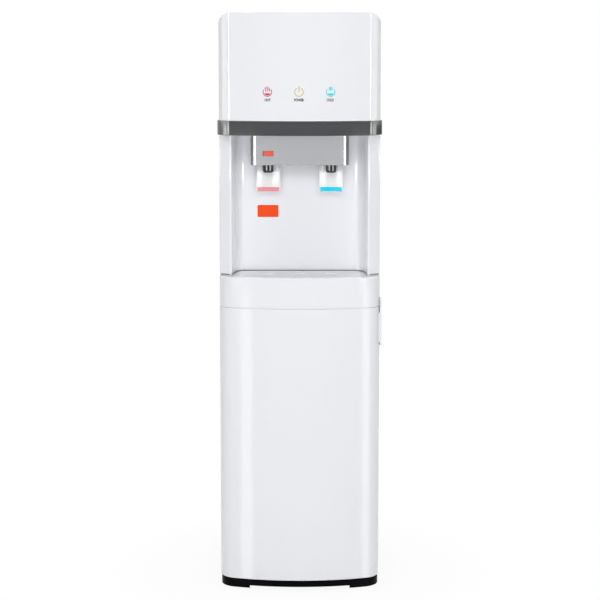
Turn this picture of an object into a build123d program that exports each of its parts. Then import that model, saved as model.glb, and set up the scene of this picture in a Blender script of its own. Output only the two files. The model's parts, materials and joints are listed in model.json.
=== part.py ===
"""Bottom load water cooler: a free-standing cabinet with two taps, a drip tray and a bottle door.

Millimetres. X to the right, Y to the back and Z up. The origin is on the floor, under the middle.
"""

from build123d import *
import os
from math import cos, radians, sin, sqrt

os.makedirs("parts", exist_ok=True)

# ---- Overall size ----------------------------------------------------------------------------
overall_height = 1100.0  # floor to the top of the head cover
half_width = 153.0  # outer faces of the side panels and of the moulded covers
front_y = -177.0  # foremost line of the bowed door and covers
cabinet_front_y = -108.5  # front edges of the side panels
cabinet_rear_y = 151.0  # rear edges of the side panels
back_y = 180.0  # wall side of the rear spacers
bow_radius = 430.0  # plan radius of the bowed front
corner_radius = 38.0  # plan radius of the door's front corners
sheet = 1.0  # steel panels
wall = 2.5  # moulded covers
seam = 0.3  # gap between a cover and what it seats beside
running = 0.05  # radial clearance of a pin in its bore

# ---- Levels ----------------------------------------------------------------------------------
plinth_bottom = 2.0
plinth_top = 17.5
door_bottom = 19.5
door_top = overall_height - 553.5
fascia_bottom = door_top + 2.2
shelf_z = door_top + 13.5
deck_z = door_top + 58.7  # top of the tray surround
shadow_gap = 2.4  # dark line under the dispensing panel
tank_shelf_z = deck_z + 150.8
band_bottom = deck_z + 267.3
band_top = band_bottom + 27.5
side_top = overall_height - 60.0

# ---- Front covers ----------------------------------------------------------------------------
ridge_x = half_width - 20.0  # sharp line down each side of the head and columns
ridge_radius = 5.0
facet_y = -118.0  # where the head's slanted facet meets its side
facet_radius = 18.0
head_corner_radius = 24.0  # top corners, seen from the front
arch_overhang = 1.0  # the corner arcs are struck this much wider than the walls
head_edge_radius = 4.0
band_step = 3.0  # how far the trim band stands out
band_wall = 6.0
column_setback = 30.0  # how far the columns stand behind the head
column_facet_y = -113.0
column_facet_radius = 6.0
column_ridge_radius = 2.0
mouth_x = half_width - 23.5  # alcove, at its mouth
mouth_setback = 1.1
mouth_radius = 2.4
alcove_back_x = half_width - 32.4
alcove_back_y = -60.0
alcove_corner_radius = 21.0
tongue_height = 7.0
lip_depth = 11.0  # how far a cover's locating lips reach into the cabinet
lip_thickness = 2.5
cover_fit = 0.3

# ---- Taps ------------------------------------------------------------------------------------
tap_x = 60.0
nozzle_y = -95.0
nozzle_radius = 10.5
nozzle_bore = 9.0
nozzle_bottom = band_bottom - 73.5
housing_bottom = band_bottom - 57.5
plate_half_width = half_width - 59.0
plate_front_y = -110.0
plate_bottom = housing_bottom - 1.0
plate_corner = 10.0
tap_half_width = 12.0
shank_z = housing_bottom + 23.0
shank_radius = 8.0
pivot_y = -80.0
pivot_z = housing_bottom + 8.0
lever_pin_radius = 2.0
lever_arm_x = 15.0  # middle of each arm, from the middle of the tap
lever_arm_thickness = 4.0
paddle_width = 47.0
paddle_bottom = pivot_z - 61.0
paddle_top = pivot_z - 11.0
paddle_radius = 45.0
paddle_thickness = 2.5
paddle_y = -80.0  # hollow face of the paddle, in its middle
strip_width = 41.0
strip_height = 8.0
strip_thickness = 1.2
strip_rise = 0.4  # above the paddle's lower edge
button_z = housing_bottom + 21.3
button_width = 18.0
button_height = 9.2
button_window = 20.8
window_margin = 0.4  # all round the button's window

# ---- Drip tray -------------------------------------------------------------------------------
tray_front_inset = 7.0
tray_front_x = half_width - 29.0
tray_rear_x = half_width - 37.0
tray_rear_y = -67.0
tray_corner = 13.0
tray_floor_z = deck_z - 30.2
tray_wall = 2.0
tray_rim = 4.0
tray_ledge = 1.5  # ledge under the grille's edge
rim_depth = 2.0
rim_proud = 0.6  # the tray's rim stands this far above the deck
grille_thickness = 3.0
grille_seat_depth = 2.2
drain_pitch = 59.0
drain_radius = 12.0
drain_dish = 1.0
slot_pitch = 4.4
slot_width = 2.2

# ---- Door ------------------------------------------------------------------------------------
door_rear_y = -112.0
hinge_x = 8.0 - half_width
hinge_y = -121.0
hinge_pin_radius = 3.0
bush_radius = 4.5
bush_flange_radius = 7.0
bush_length = 11.0
pan_half_width = half_width - 35.0
pan_front_y = -148.0
pan_bottom = 46.0
pan_top = door_top - 24.5
liner = 2.0
pan_radius = 8.0
handle_bottom = door_top - 75.5
handle_top = door_top + 16.5
handle_front_y = -138.0
handle_rear_y = -114.0
handle_step = 3.0
handle_corner = 6.0
handle_edge_radius = 1.6
tenon_inset = 4.0
tenon_bottom = handle_bottom + 6.0
tenon_top = door_top - 12.0
tenon_depth = 3.0  # how far the tenon reaches in behind the door's wall
magnet_x = half_width - 28.0
magnet_width = 26.0
magnet_height = 14.0
magnet_z = door_top - 12.5
shelf_flange = 35.0  # front flange of the shelf, behind the strike
shelf_flange_left_x = 41.0 - half_width

# ---- Inside ----------------------------------------------------------------------------------
hot_tank_x = 81.0 - half_width
hot_tank_y = 40.0
hot_tank_radius = 60.0
hot_tank_height = 165.0
cold_tank_x = half_width - 78.0
cold_tank_y = 62.0
cold_tank_radius = 50.0
cold_tank_height = 165.0
coil_tube_radius = 4.0
insulation_radius = 75.0
insulation_height = 204.0
insulation_base = 18.0
tank_wall = 1.5
tank_end_cone = 12.0
stub_radius = 6.0
hose_wall = 2.5
compressor_x = half_width - 88.0
compressor_y = 70.0
compressor_radius = 66.0
compressor_height = 150.0
grommet_height = 10.0
grommet_radius = 9.0
pump_x = 61.0 - half_width
pump_y = 112.0
probe_x = 35.0 - half_width
probe_y = 117.0
probe_radius = 7.0
probe_bottom = 24.0
probe_top = door_top - 101.5
condenser_y = 167.0
condenser_tube_radius = 2.5
condenser_half_width = half_width - 61.0
condenser_bottom = 128.0
condenser_runs = 9
condenser_pitch = (door_top + 61.5 - condenser_bottom) / (condenser_runs - 1)
wire_radius = 0.8
weld_gap = 0.05
wire_pitch = 15.0
wires_per_row = 12
wire_overrun = 10.0  # how far the wires pass the outermost runs
switch_z = side_top - 40.0
switch_places = (-115.0, -80.0)
switch_tilt = 8.0
drain_z = tank_shelf_z - 38.0
drain_pipe_radius = 7.0
drain_pipe_bore = 4.0
drain_end_y = 164.0

# ---- Worked out from the above -----------------------------------------------------------------
covers_rear_y = cabinet_front_y - seam
side_inner_x = half_width - sheet
ridge_y = front_y + bow_radius - sqrt(bow_radius**2 - ridge_x**2)
column_ridge_y = ridge_y + column_setback
ceiling_bottom = band_bottom - wall
panel_bottom = deck_z + shadow_gap
shelf_top = shelf_z + sheet
tank_shelf_top = tank_shelf_z + sheet
rear_panel_y = cabinet_rear_y + sheet
tap_places = (-tap_x, tap_x)
drain_places = (-drain_pitch, 0, drain_pitch)
housing_half_width = plate_half_width - sheet
window_half_height = button_height / 2 + window_margin
housing_front_y = plate_front_y + sheet
housing_floor_top = housing_bottom + wall
condenser_top = condenser_bottom + condenser_pitch * (condenser_runs - 1)
probe_cap_top = probe_top + 24.0
cold_inlet_top = tank_shelf_top + insulation_height + 12.0


def save(piece, name):
    """Name a finished piece and write it to its own file."""
    piece.part.label = name
    export_step(piece.part, f"parts/{name}.step")


# ---- Outlines ----------------------------------------------------------------------------------
def bowed_outline(inset, rear):
    """Plan outline of the door and fascia: a bowed front, rounded corners and straight sides."""
    half = half_width - inset
    radius = bow_radius - inset
    side_y = front_y + bow_radius - sqrt(radius**2 - half**2)
    with BuildSketch() as outline:
        with BuildLine():
            ThreePointArc((-half, side_y), (0, front_y + inset), (half, side_y))
            Polyline((half, side_y), (half, rear), (-half, rear), (-half, side_y))
        make_face()
        fillet(outline.vertices().filter_by(lambda v: abs(v.Y - side_y) < 0.01), corner_radius - inset)
    return outline.sketch


def ridged_outline(grow, rear, rounding=facet_radius):
    """Plan outline of the head: a bowed front, a ridge each side and a slanted facet behind it."""
    open_rear = rear - grow
    with BuildSketch() as outline:
        with BuildLine():
            ThreePointArc((-ridge_x, ridge_y), (0, front_y), (ridge_x, ridge_y))
            Polyline(
                (ridge_x, ridge_y),
                (half_width, facet_y),
                (half_width, open_rear),
                (-half_width, open_rear),
                (-half_width, facet_y),
                (-ridge_x, ridge_y),
            )
        make_face()
        fillet(outline.vertices().filter_by(lambda v: abs(v.Y - ridge_y) < 0.01), ridge_radius)
        if rounding:
            fillet(outline.vertices().filter_by(lambda v: abs(v.Y - facet_y) < 0.01), rounding)
        if grow:
            offset(amount=grow, kind=Kind.INTERSECTION)
    return outline.sketch


def arch_outline(inset, bottom):
    """Front outline of the head: straight walls, and corner arcs that meet them at a slight angle."""
    half = half_width - inset
    top = overall_height - inset
    with BuildSketch() as outline:
        with Locations((0, (top + bottom) / 2)):
            Rectangle(2 * (half + arch_overhang), top - bottom)
        fillet(outline.vertices().group_by(Axis.Y)[-1], head_corner_radius - inset)
        with Locations((0, (top + bottom) / 2)):
            Rectangle(2 * half, top - bottom, mode=Mode.INTERSECT)
    return outline.sketch


def alcove_region(inset, rear=0.0):
    """Everything behind the front face of the columns and alcove, moved back by an inset."""
    mouth_y = column_ridge_y - mouth_setback
    with BuildSketch() as region:
        with BuildLine():
            Polyline(
                (half_width, rear),
                (half_width, column_facet_y),
                (ridge_x, column_ridge_y),
                (mouth_x, mouth_y),
                (alcove_back_x, alcove_back_y),
                (-alcove_back_x, alcove_back_y),
                (-mouth_x, mouth_y),
                (-ridge_x, column_ridge_y),
                (-half_width, column_facet_y),
                (-half_width, rear),
                close=True,
            )
        make_face()
        for corner_y, radius in (
            (column_facet_y, column_facet_radius),
            (column_ridge_y, column_ridge_radius),
            (mouth_y, mouth_radius),
            (alcove_back_y, alcove_corner_radius),
        ):
            fillet(region.vertices().filter_by(lambda v: abs(v.Y - corner_y) < 0.01), radius)
        if inset:
            offset(amount=-inset, kind=Kind.INTERSECTION)
    return region.sketch


def alcove_mask():
    """The part of the plan where the dispensing panel has a wall."""
    alcove_half = mouth_x + wall
    rear = alcove_back_y + wall
    with BuildSketch() as mask:
        with Locations((0, (covers_rear_y + front_y) / 2)):
            Rectangle(2 * half_width, covers_rear_y - front_y)
        with Locations((0, (rear + front_y) / 2)):
            Rectangle(2 * alcove_half, rear - front_y)
    return mask.sketch


def tray_outline(grow):
    """Plan outline of the drip tray: bowed in front and a little narrower at the back."""
    radius = bow_radius - tray_front_inset
    tray_front_y = front_y + bow_radius - sqrt(radius**2 - tray_front_x**2)
    with BuildSketch() as outline:
        with BuildLine():
            ThreePointArc(
                (-tray_front_x, tray_front_y),
                (0, front_y + tray_front_inset),
                (tray_front_x, tray_front_y),
            )
            Polyline(
                (tray_front_x, tray_front_y),
                (tray_rear_x, tray_rear_y),
                (-tray_rear_x, tray_rear_y),
                (-tray_front_x, tray_front_y),
            )
        make_face()
        fillet(outline.vertices(), tray_corner)
        if grow:
            offset(amount=grow)
    return outline.sketch


def block(x_range, y_range, z_range):
    """A plain block between three pairs of coordinates."""
    with BuildPart() as piece:
        with BuildSketch(Plane.XY.offset(z_range[0])):
            with Locations(((x_range[0] + x_range[1]) / 2, (y_range[0] + y_range[1]) / 2)):
                Rectangle(x_range[1] - x_range[0], y_range[1] - y_range[0])
        extrude(amount=z_range[1] - z_range[0])
    return piece.part


def side_lips(bottom, top, root_y):
    """Pair of locating lips that carry a cover between the two side panels."""
    outer = half_width - wall - cover_fit - 0.5
    inner = outer - lip_thickness
    with BuildPart() as lips:
        add(block((inner, half_width - wall), (root_y, covers_rear_y), (bottom, top)))
        add(block((inner, outer), (covers_rear_y, covers_rear_y + lip_depth), (bottom, top)))
        mirror(about=Plane.YZ)
    return lips.part


def hose(points, radii, outer, inner=0.0, sides=12):
    """A bent tube along straight runs joined by arcs, many-sided in section."""
    with BuildPart() as tube:
        with BuildLine() as route:
            FilletPolyline(*points, radius=radii)
        with BuildSketch(Plane(origin=route.line @ 0, z_dir=route.line % 0)):
            RegularPolygon(outer, sides)
            if inner:
                RegularPolygon(inner, sides, major_radius=False, mode=Mode.SUBTRACT)
        sweep()
    return tube.part


def cylinder_along(axis, centre, radius, length):
    """A round bar that starts at a centre and runs along an axis."""
    with BuildPart() as bar:
        with BuildSketch(Plane(origin=centre, z_dir=axis)):
            Circle(radius)
        extrude(amount=length)
    return bar.part


# ---- Base and cabinet ----------------------------------------------------------------------------
plinth_inset = 1.5
plinth_wall = 2.5
plinth_deck = 4.0
plinth_arch = 5.0
plinth_rear_y = cabinet_rear_y - 0.5
foot_radius = 17.0
foot_pad = 6.0
foot_stem_radius = 5.0
foot_places = ((-112, -128), (112, -128), (-126, 122), (126, 122))
plinth_arch_ends = 96.0  # the arches in the rim stop this far from the middle
seat_radius = 115.0
seat_y = 8.0
seat_height = 0.8  # the bottle's seat stands this far above the deck


def make_base_plinth():
    """Black moulded base: a deck on a rim that is arched up between its corners."""
    with BuildPart() as base_plinth:
        with BuildSketch(Plane.XY.offset(plinth_bottom)):
            add(bowed_outline(plinth_inset, plinth_rear_y))
        extrude(amount=plinth_top - plinth_bottom)
        with BuildSketch(Plane.XY.offset(plinth_bottom)):
            add(bowed_outline(plinth_inset + plinth_wall, plinth_rear_y - plinth_wall))
        extrude(amount=plinth_top - plinth_deck - plinth_bottom, mode=Mode.SUBTRACT)
        arch_top = plinth_bottom + plinth_arch
        ends = (-plinth_arch_ends, plinth_arch_ends)
        for x_range, y_range in ((ends, (front_y, back_y)), ((-half_width, half_width), (-86, 88))):
            add(block(x_range, y_range, (plinth_bottom, arch_top)), mode=Mode.SUBTRACT)
        with Locations((hinge_x, hinge_y, plinth_top - plinth_deck)):
            Cylinder(
                hinge_pin_radius,
                plinth_deck,
                align=(Align.CENTER, Align.CENTER, Align.MIN),
                mode=Mode.SUBTRACT,
            )
        outer_rim = base_plinth.edges().group_by(Axis.Z)[-1].filter_by(GeomType.CIRCLE)
        fillet(outer_rim.filter_by(lambda e: e.length > 20), 1.0)
        with BuildSketch(Plane.XY.offset(plinth_top)):
            with Locations((0, seat_y)):
                Circle(seat_radius)
        extrude(amount=seat_height)
    save(base_plinth, "base_plinth")


def make_corner_feet():
    """Four screw-in feet, each a rubber pad on a short stem up to the deck of the base."""
    with BuildPart() as corner_feet:
        with BuildSketch():
            with Locations(*foot_places):
                Circle(foot_radius)
        extrude(amount=foot_pad)
        with BuildSketch(Plane.XY.offset(foot_pad)):
            with Locations(*foot_places):
                Circle(foot_stem_radius)
        extrude(amount=plinth_top - plinth_deck - foot_pad)
    save(corner_feet, "corner_feet")


hem = 3.0
rear_flange = 14.0
shelf_side_flange = 15.0


def make_side_panels():
    """Steel side panels, hemmed at the front and flanged at the back."""
    for name, side in (("side_panel_left", -1), ("side_panel_right", 1)):
        with BuildPart() as side_panel:
            with BuildSketch(Plane.XY.offset(plinth_top)):
                with BuildLine():
                    Polyline(
                        (side * half_width, cabinet_front_y),
                        (side * half_width, cabinet_rear_y),
                        (side * (half_width - rear_flange), cabinet_rear_y),
                        (side * (half_width - rear_flange), cabinet_rear_y - sheet),
                        (side * side_inner_x, cabinet_rear_y - sheet),
                        (side * side_inner_x, cabinet_front_y + sheet),
                        (side * (half_width - hem), cabinet_front_y + sheet),
                        (side * (half_width - hem), cabinet_front_y),
                        close=True,
                    )
                make_face()
            extrude(amount=side_top - plinth_top)
        save(side_panel, name)


louvre_length = 84.0
louvre_height = 3.8
louvre_rows = 9
louvre_row_pitch = 12.0
louvre_column_pitch = 104.0
louvre_centre_z = side_top - 210.0
panel_clearance = 0.4


def make_rear_panel():
    """Steel rear panel with two columns of louvres, and cut-outs for the switches and the fittings."""
    with BuildPart() as rear_panel:
        with BuildSketch(Plane.XZ.offset(-cabinet_rear_y)):
            with Locations((0, (side_top + plinth_top) / 2)):
                Rectangle(2 * (half_width - panel_clearance), side_top - plinth_top)
            with Locations((0, louvre_centre_z)):
                with GridLocations(louvre_column_pitch, louvre_row_pitch, 2, louvre_rows):
                    Rectangle(louvre_length, louvre_height, mode=Mode.SUBTRACT)
            with Locations(*[(x, switch_z) for x in switch_places]):
                Rectangle(bezel_body_width, bezel_body_height, mode=Mode.SUBTRACT)
            with Locations((hot_tank_x, drain_z)):
                Circle(drain_pipe_radius + 0.3, mode=Mode.SUBTRACT)
            with Locations((gland_x, gland_z)):
                Circle(gland_neck_radius, mode=Mode.SUBTRACT)
            with Locations((line_x, line_z)):
                Circle(condenser_tube_radius + 0.3, mode=Mode.SUBTRACT)
        extrude(amount=-sheet)
    save(rear_panel, "rear_panel")


def make_mid_shelf():
    """Shelf over the bottle, with side flanges turned up and a front flange turned down."""
    front = cabinet_front_y + sheet
    rear = cabinet_rear_y - sheet
    with BuildPart() as mid_shelf:
        add(block((-side_inner_x, side_inner_x), (front, rear), (shelf_z, shelf_top)))
        for side in (-1, 1):
            edges = sorted((side * side_inner_x, side * (side_inner_x - sheet)))
            add(block(edges, (front, rear), (shelf_z, shelf_z + shelf_side_flange)))
        flange = (shelf_z - shelf_flange, shelf_top)
        add(block((shelf_flange_left_x, side_inner_x), (front, front + sheet), flange))
        with Locations((pump_x, pump_y, shelf_z)):
            Cylinder(hose_hole_radius, 4 * sheet, mode=Mode.SUBTRACT)
    save(mid_shelf, "mid_shelf")


tank_shelf_front_y = -34.0
hose_way_radius = 9.0


def make_tank_shelf():
    """Shelf under the two tanks, with side flanges turned down and room for the rising hose."""
    rear = cabinet_rear_y - sheet
    with BuildPart() as tank_shelf:
        depth = (tank_shelf_front_y, rear)
        add(block((-side_inner_x, side_inner_x), depth, (tank_shelf_z, tank_shelf_top)))
        for side in (-1, 1):
            edges = sorted((side * side_inner_x, side * (side_inner_x - sheet)))
            add(block(edges, depth, (tank_shelf_z - shelf_side_flange, tank_shelf_top)))
        with Locations((supply_x, supply_y, tank_shelf_z), (hot_tank_x, hot_tank_y, tank_shelf_z)):
            Cylinder(hose_way_radius, 4 * sheet, mode=Mode.SUBTRACT)
    save(tank_shelf, "tank_shelf")


lid_rear_radius = 3.0


def make_top_cover():
    """Moulded lid behind the head cover, closed at the back."""
    with BuildPart() as top_cover:
        with BuildSketch(Plane.XZ.offset(-cabinet_front_y)):
            add(arch_outline(0, side_top))
        extrude(amount=-(rear_panel_y - cabinet_front_y))
        rear_edges = top_cover.faces().sort_by(Axis.Y)[-1].edges()
        fillet(rear_edges.filter_by(lambda e: e.center().Z > side_top + 1), lid_rear_radius)
        with BuildSketch(Plane.XZ.offset(-cabinet_front_y)):
            add(arch_outline(wall, side_top - 10))
        extrude(amount=-(rear_panel_y - wall - cabinet_front_y), mode=Mode.SUBTRACT)
    save(top_cover, "top_cover")


# ---- Front covers ----------------------------------------------------------------------------------
def head_solid(inset, bottom, rear, rounding=facet_radius):
    """The head's form, whole or moved in by its wall: its plan outline and its front outline, crossed."""
    with BuildPart() as form:
        with BuildSketch(Plane.XY.offset(bottom)):
            add(ridged_outline(-inset, rear, rounding))
        extrude(amount=overall_height - inset - bottom)
        with BuildSketch(Plane.XZ.offset(-rear - 10)):
            add(arch_outline(inset, bottom - 10))
        extrude(amount=rear + 10 - front_y + 10, mode=Mode.INTERSECT)
    return form.part


board_half_length = 78.0
board_z = band_top + 52.0
board_height = 22.0
board_y = -160.0
board_post_radius = 3.0
board_post_inset = 6.0


def make_head_cover():
    """One-piece head cover, open below and behind, with posts for the indicator board inside."""
    with BuildPart() as head_cover:
        add(head_solid(0, band_top, covers_rear_y))
        arch_foot = overall_height - head_corner_radius
        top_edges = head_cover.edges().filter_by(lambda e: e.center().Z > arch_foot)
        front_edges = top_edges.filter_by(lambda e: e.center().Y < covers_rear_y - 1)
        fillet(front_edges.filter_by(lambda e: is_front_rim(e)), head_edge_radius)
        add(head_solid(wall, band_top - 10, covers_rear_y + 20, 0), mode=Mode.SUBTRACT)
        add(side_lips(band_top + 8, overall_height - 34, covers_rear_y - 8))
        for x in (board_post_inset - board_half_length, board_half_length - board_post_inset):
            post_front = front_y + bow_radius - sqrt(bow_radius**2 - x**2) + wall - 1
            post_foot = (x, post_front, board_z)
            add(cylinder_along((0, 1, 0), post_foot, board_post_radius, board_y - post_front))
    save(head_cover, "head_cover")


def is_front_rim(edge):
    """True for the edges where the head's front meets its arched top."""
    ends = edge.vertices()
    depth = max(v.Y for v in ends) - min(v.Y for v in ends)
    width = max(v.X for v in ends) - min(v.X for v in ends)
    return width > 0.2 or depth < 30


band_floor_half_width = half_width - 25.0
band_floor_rear_y = -124.0


def make_trim_band():
    """Grey band under the head, with a floor that closes the overhang."""
    with BuildPart() as trim_band:
        with BuildSketch(Plane.XY.offset(band_bottom)):
            add(ridged_outline(band_step, covers_rear_y))
        extrude(amount=band_top - band_bottom)
        with BuildSketch(Plane.XY.offset(band_bottom + wall)):
            add(ridged_outline(band_step - band_wall, covers_rear_y + 20))
        extrude(amount=band_top - band_bottom, mode=Mode.SUBTRACT)
        opening = block(
            (-band_floor_half_width, band_floor_half_width),
            (band_floor_rear_y, covers_rear_y + 20),
            (band_bottom, band_top),
        )
        add(opening, mode=Mode.SUBTRACT)
        add(side_lips(band_bottom + 4, band_top - 4, covers_rear_y - 8))
    save(trim_band, "trim_band")


def make_dispensing_panel():
    """Columns, alcove walls and ceiling in one moulded skin, with holes for the two tap shanks."""
    with BuildPart() as dispensing_panel:
        with BuildSketch(Plane.XY.offset(panel_bottom)):
            add(alcove_region(0))
            add(alcove_region(wall), mode=Mode.SUBTRACT)
            add(alcove_mask(), mode=Mode.INTERSECT)
        extrude(amount=band_bottom - panel_bottom)
        with BuildSketch(Plane.XY.offset(ceiling_bottom)):
            with BuildLine():
                Polyline(
                    (half_width - wall, covers_rear_y),
                    (half_width - wall, column_facet_y),
                    (mouth_x, column_ridge_y),
                    (-mouth_x, column_ridge_y),
                    (wall - half_width, column_facet_y),
                    (wall - half_width, covers_rear_y),
                    (-mouth_x, covers_rear_y),
                    (-mouth_x, alcove_back_y + wall),
                    (mouth_x, alcove_back_y + wall),
                    (mouth_x, covers_rear_y),
                    close=True,
                )
            make_face()
        extrude(amount=wall)
        for x in tap_places:
            hole = cylinder_along((0, 1, 0), (x, alcove_back_y - 5, shank_z), shank_radius, 15)
            add(hole, mode=Mode.SUBTRACT)
        add(side_lips(panel_bottom + 10, band_bottom - 6, covers_rear_y - 2))
    save(dispensing_panel, "dispensing_panel")


well_floor_z = tray_floor_z - tray_wall - 1.0


def make_tray_surround():
    """Fascia and deck under the alcove, with a well for the drip tray and a tongue into the panel above."""
    rebate = tray_rim + cover_fit
    with BuildPart() as tray_surround:
        with BuildSketch(Plane.XY.offset(fascia_bottom)):
            add(bowed_outline(0, covers_rear_y))
        extrude(amount=deck_z - fascia_bottom)
        front_rim = tray_surround.faces().sort_by(Axis.Z)[-1].edges().filter_by(
            lambda e: e.center().Y < covers_rear_y - 1
        )
        fillet(front_rim, 2.5)
        with BuildSketch(Plane.XY.offset(fascia_bottom + wall)):
            add(bowed_outline(wall, covers_rear_y + 20))
        extrude(amount=deck_z - fascia_bottom - 2 * wall, mode=Mode.SUBTRACT)
        alcove_half = mouth_x + wall
        deck_rear = alcove_back_y + wall
        add(block((-alcove_half, alcove_half), (covers_rear_y, deck_rear), (deck_z - wall, deck_z)))
        with BuildSketch(Plane.XY.offset(well_floor_z - wall)):
            add(tray_outline(cover_fit + wall))
        extrude(amount=deck_z - wall / 2 - well_floor_z + wall)
        with BuildSketch(Plane.XY.offset(well_floor_z)):
            add(tray_outline(cover_fit))
        extrude(amount=deck_z - well_floor_z, mode=Mode.SUBTRACT)
        with BuildSketch(Plane.XY.offset(deck_z - rim_depth)):
            add(tray_outline(rebate))
        extrude(amount=rim_depth, mode=Mode.SUBTRACT)
        with BuildSketch(Plane.XY.offset(deck_z - wall / 2)):
            add(alcove_region(wall + cover_fit))
            add(alcove_region(2 * wall + cover_fit), mode=Mode.SUBTRACT)
            add(alcove_mask(), mode=Mode.INTERSECT)
        extrude(amount=wall / 2 + tongue_height)
        with Locations((hinge_x, hinge_y, fascia_bottom)):
            Cylinder(hinge_pin_radius, 4 * wall, mode=Mode.SUBTRACT)
        add(side_lips(shelf_z + 18, deck_z - 6, covers_rear_y - 8))
    save(tray_surround, "tray_surround")


def make_drip_tray():
    """Lift-out basin, hung by its rim in the deck."""
    rim_top = deck_z + rim_proud
    with BuildPart() as drip_tray:
        with BuildSketch(Plane.XY.offset(tray_floor_z - tray_wall)):
            add(tray_outline(0))
        extrude(amount=rim_top - tray_floor_z + tray_wall)
        with BuildSketch(Plane.XY.offset(deck_z - rim_depth)):
            add(tray_outline(tray_rim))
        extrude(amount=rim_top - deck_z + rim_depth)
        with BuildSketch(Plane.XY.offset(tray_floor_z)):
            add(tray_outline(-tray_wall - tray_ledge))
        extrude(amount=rim_top - tray_floor_z, mode=Mode.SUBTRACT)
        with BuildSketch(Plane.XY.offset(rim_top - grille_seat_depth)):
            add(tray_outline(0))
        extrude(amount=grille_seat_depth, mode=Mode.SUBTRACT)
        fillet(drip_tray.faces().sort_by(Axis.Z)[0].edges(), 1.5)
    save(drip_tray, "drip_tray")


def make_drip_grille():
    """Grille in the tray's rim, with a slotted dish under each tap and one between them."""
    seat_z = deck_z + rim_proud - grille_seat_depth
    top_z = seat_z + grille_thickness
    drain_y = (front_y + tray_rear_y) / 2
    with BuildPart() as drip_grille:
        with BuildSketch(Plane.XY.offset(seat_z)):
            add(tray_outline(-cover_fit))
        extrude(amount=grille_thickness)
        fillet(drip_grille.faces().sort_by(Axis.Z)[-1].edges(), 0.8)
        with BuildSketch(Plane.XY.offset(top_z - drain_dish)):
            with Locations(*[(x, drain_y) for x in drain_places]):
                Circle(drain_radius)
        extrude(amount=drain_dish, mode=Mode.SUBTRACT)
        with BuildSketch(Plane.XY.offset(seat_z)):
            for x in drain_places:
                for step in (-2, -1, 0, 1, 2):
                    slot = 2 * sqrt((drain_radius - 1.5) ** 2 - (slot_pitch * step) ** 2)
                    with Locations((x, drain_y + slot_pitch * step)):
                        Rectangle(slot, slot_width)
        extrude(amount=grille_thickness, mode=Mode.SUBTRACT)
    save(drip_grille, "drip_grille")


# ---- Taps ------------------------------------------------------------------------------------------
def housing_outline(half, front, corner):
    """Plan outline of the tap housing: rounded in front and open to the alcove's back wall."""
    with BuildSketch() as outline:
        with Locations((0, (front + alcove_back_y) / 2)):
            Rectangle(2 * half, alcove_back_y - front)
        fillet(outline.vertices().group_by(Axis.Y)[0], corner)
    return outline.sketch


def make_faucet_plate():
    """Brushed steel plate wrapped round the front and sides of the tap housing."""
    with BuildPart() as faucet_plate:
        with BuildSketch(Plane.XY.offset(plate_bottom)):
            add(housing_outline(plate_half_width, plate_front_y, plate_corner))
            inner = housing_outline(housing_half_width, housing_front_y, plate_corner - sheet)
            add(inner, mode=Mode.SUBTRACT)
        extrude(amount=ceiling_bottom - plate_bottom)
        window = block(
            (-tap_x - button_window / 2, -tap_x + button_window / 2),
            (plate_front_y - 1, housing_front_y + 1),
            (button_z - window_half_height, button_z + window_half_height),
        )
        add(window, mode=Mode.SUBTRACT)
    save(faucet_plate, "faucet_plate")


def make_faucet_housing():
    """Moulded tap housing, open behind and above, slotted below for the levers and nozzles."""
    with BuildPart() as faucet_housing:
        with BuildSketch(Plane.XY.offset(housing_bottom)):
            add(housing_outline(housing_half_width, housing_front_y, plate_corner - sheet))
        extrude(amount=ceiling_bottom - housing_bottom)
        inner = block(
            (-housing_half_width + wall, housing_half_width - wall),
            (housing_front_y + wall, alcove_back_y),
            (housing_floor_top, ceiling_bottom),
        )
        add(inner, mode=Mode.SUBTRACT)
        with BuildSketch(Plane.XY.offset(housing_bottom)):
            with Locations(*[(x, nozzle_y) for x in tap_places]):
                Circle(nozzle_radius + cover_fit)
            with Locations(*[(x, pivot_y) for x in tap_places]):
                Rectangle(2 * lever_arm_x + lever_arm_thickness + 4, 14)
        extrude(amount=wall, mode=Mode.SUBTRACT)
        window = block(
            (-tap_x - button_window / 2, -tap_x + button_window / 2),
            (housing_front_y - 1, housing_front_y + wall + 1),
            (button_z - window_half_height, button_z + window_half_height),
        )
        add(window, mode=Mode.SUBTRACT)
    save(faucet_housing, "faucet_housing")


tap_front_y = nozzle_y - 11.0
tap_nose_top = housing_bottom + 14.0
tap_block_front_y = -73.0
tap_block_top = shank_z + 9.0
shank_length = 14.0
shank_rear_y = alcove_back_y + 32.0
guide_front_y = -98.4
guide_rear_y = -95.0
stem_radius = 3.0


def make_tap_body(name, x, guided):
    """Valve body with a nose over the nozzle and a shank through the alcove's back wall."""
    left = x - tap_half_width
    right = x + tap_half_width
    with BuildPart() as tap_body:
        add(block((left, right), (tap_front_y, alcove_back_y), (housing_floor_top, tap_nose_top)))
        add(block((left, right), (tap_block_front_y, alcove_back_y), (tap_nose_top, tap_block_top)))
        fillet(tap_body.edges().filter_by(Axis.Z).group_by(Axis.Y)[0], 6)
        add(cylinder_along((0, 1, 0), (x, alcove_back_y, shank_z), shank_radius, shank_length))
        tail_length = shank_rear_y - alcove_back_y
        add(cylinder_along((0, 1, 0), (x, alcove_back_y, shank_z), stub_radius, tail_length))
        bore_start = (left - 1, pivot_y, pivot_z)
        bore = cylinder_along((1, 0, 0), bore_start, lever_pin_radius, 2 * tap_half_width + 2)
        add(bore, mode=Mode.SUBTRACT)
        if guided:
            add(block((x - 9, x + 9), (guide_front_y, guide_rear_y), (tap_nose_top, button_z + 7)))
            hole = cylinder_along((0, 1, 0), (x, guide_front_y - 1, button_z), stem_radius + running, 6)
            add(hole, mode=Mode.SUBTRACT)
    save(tap_body, name)


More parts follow.
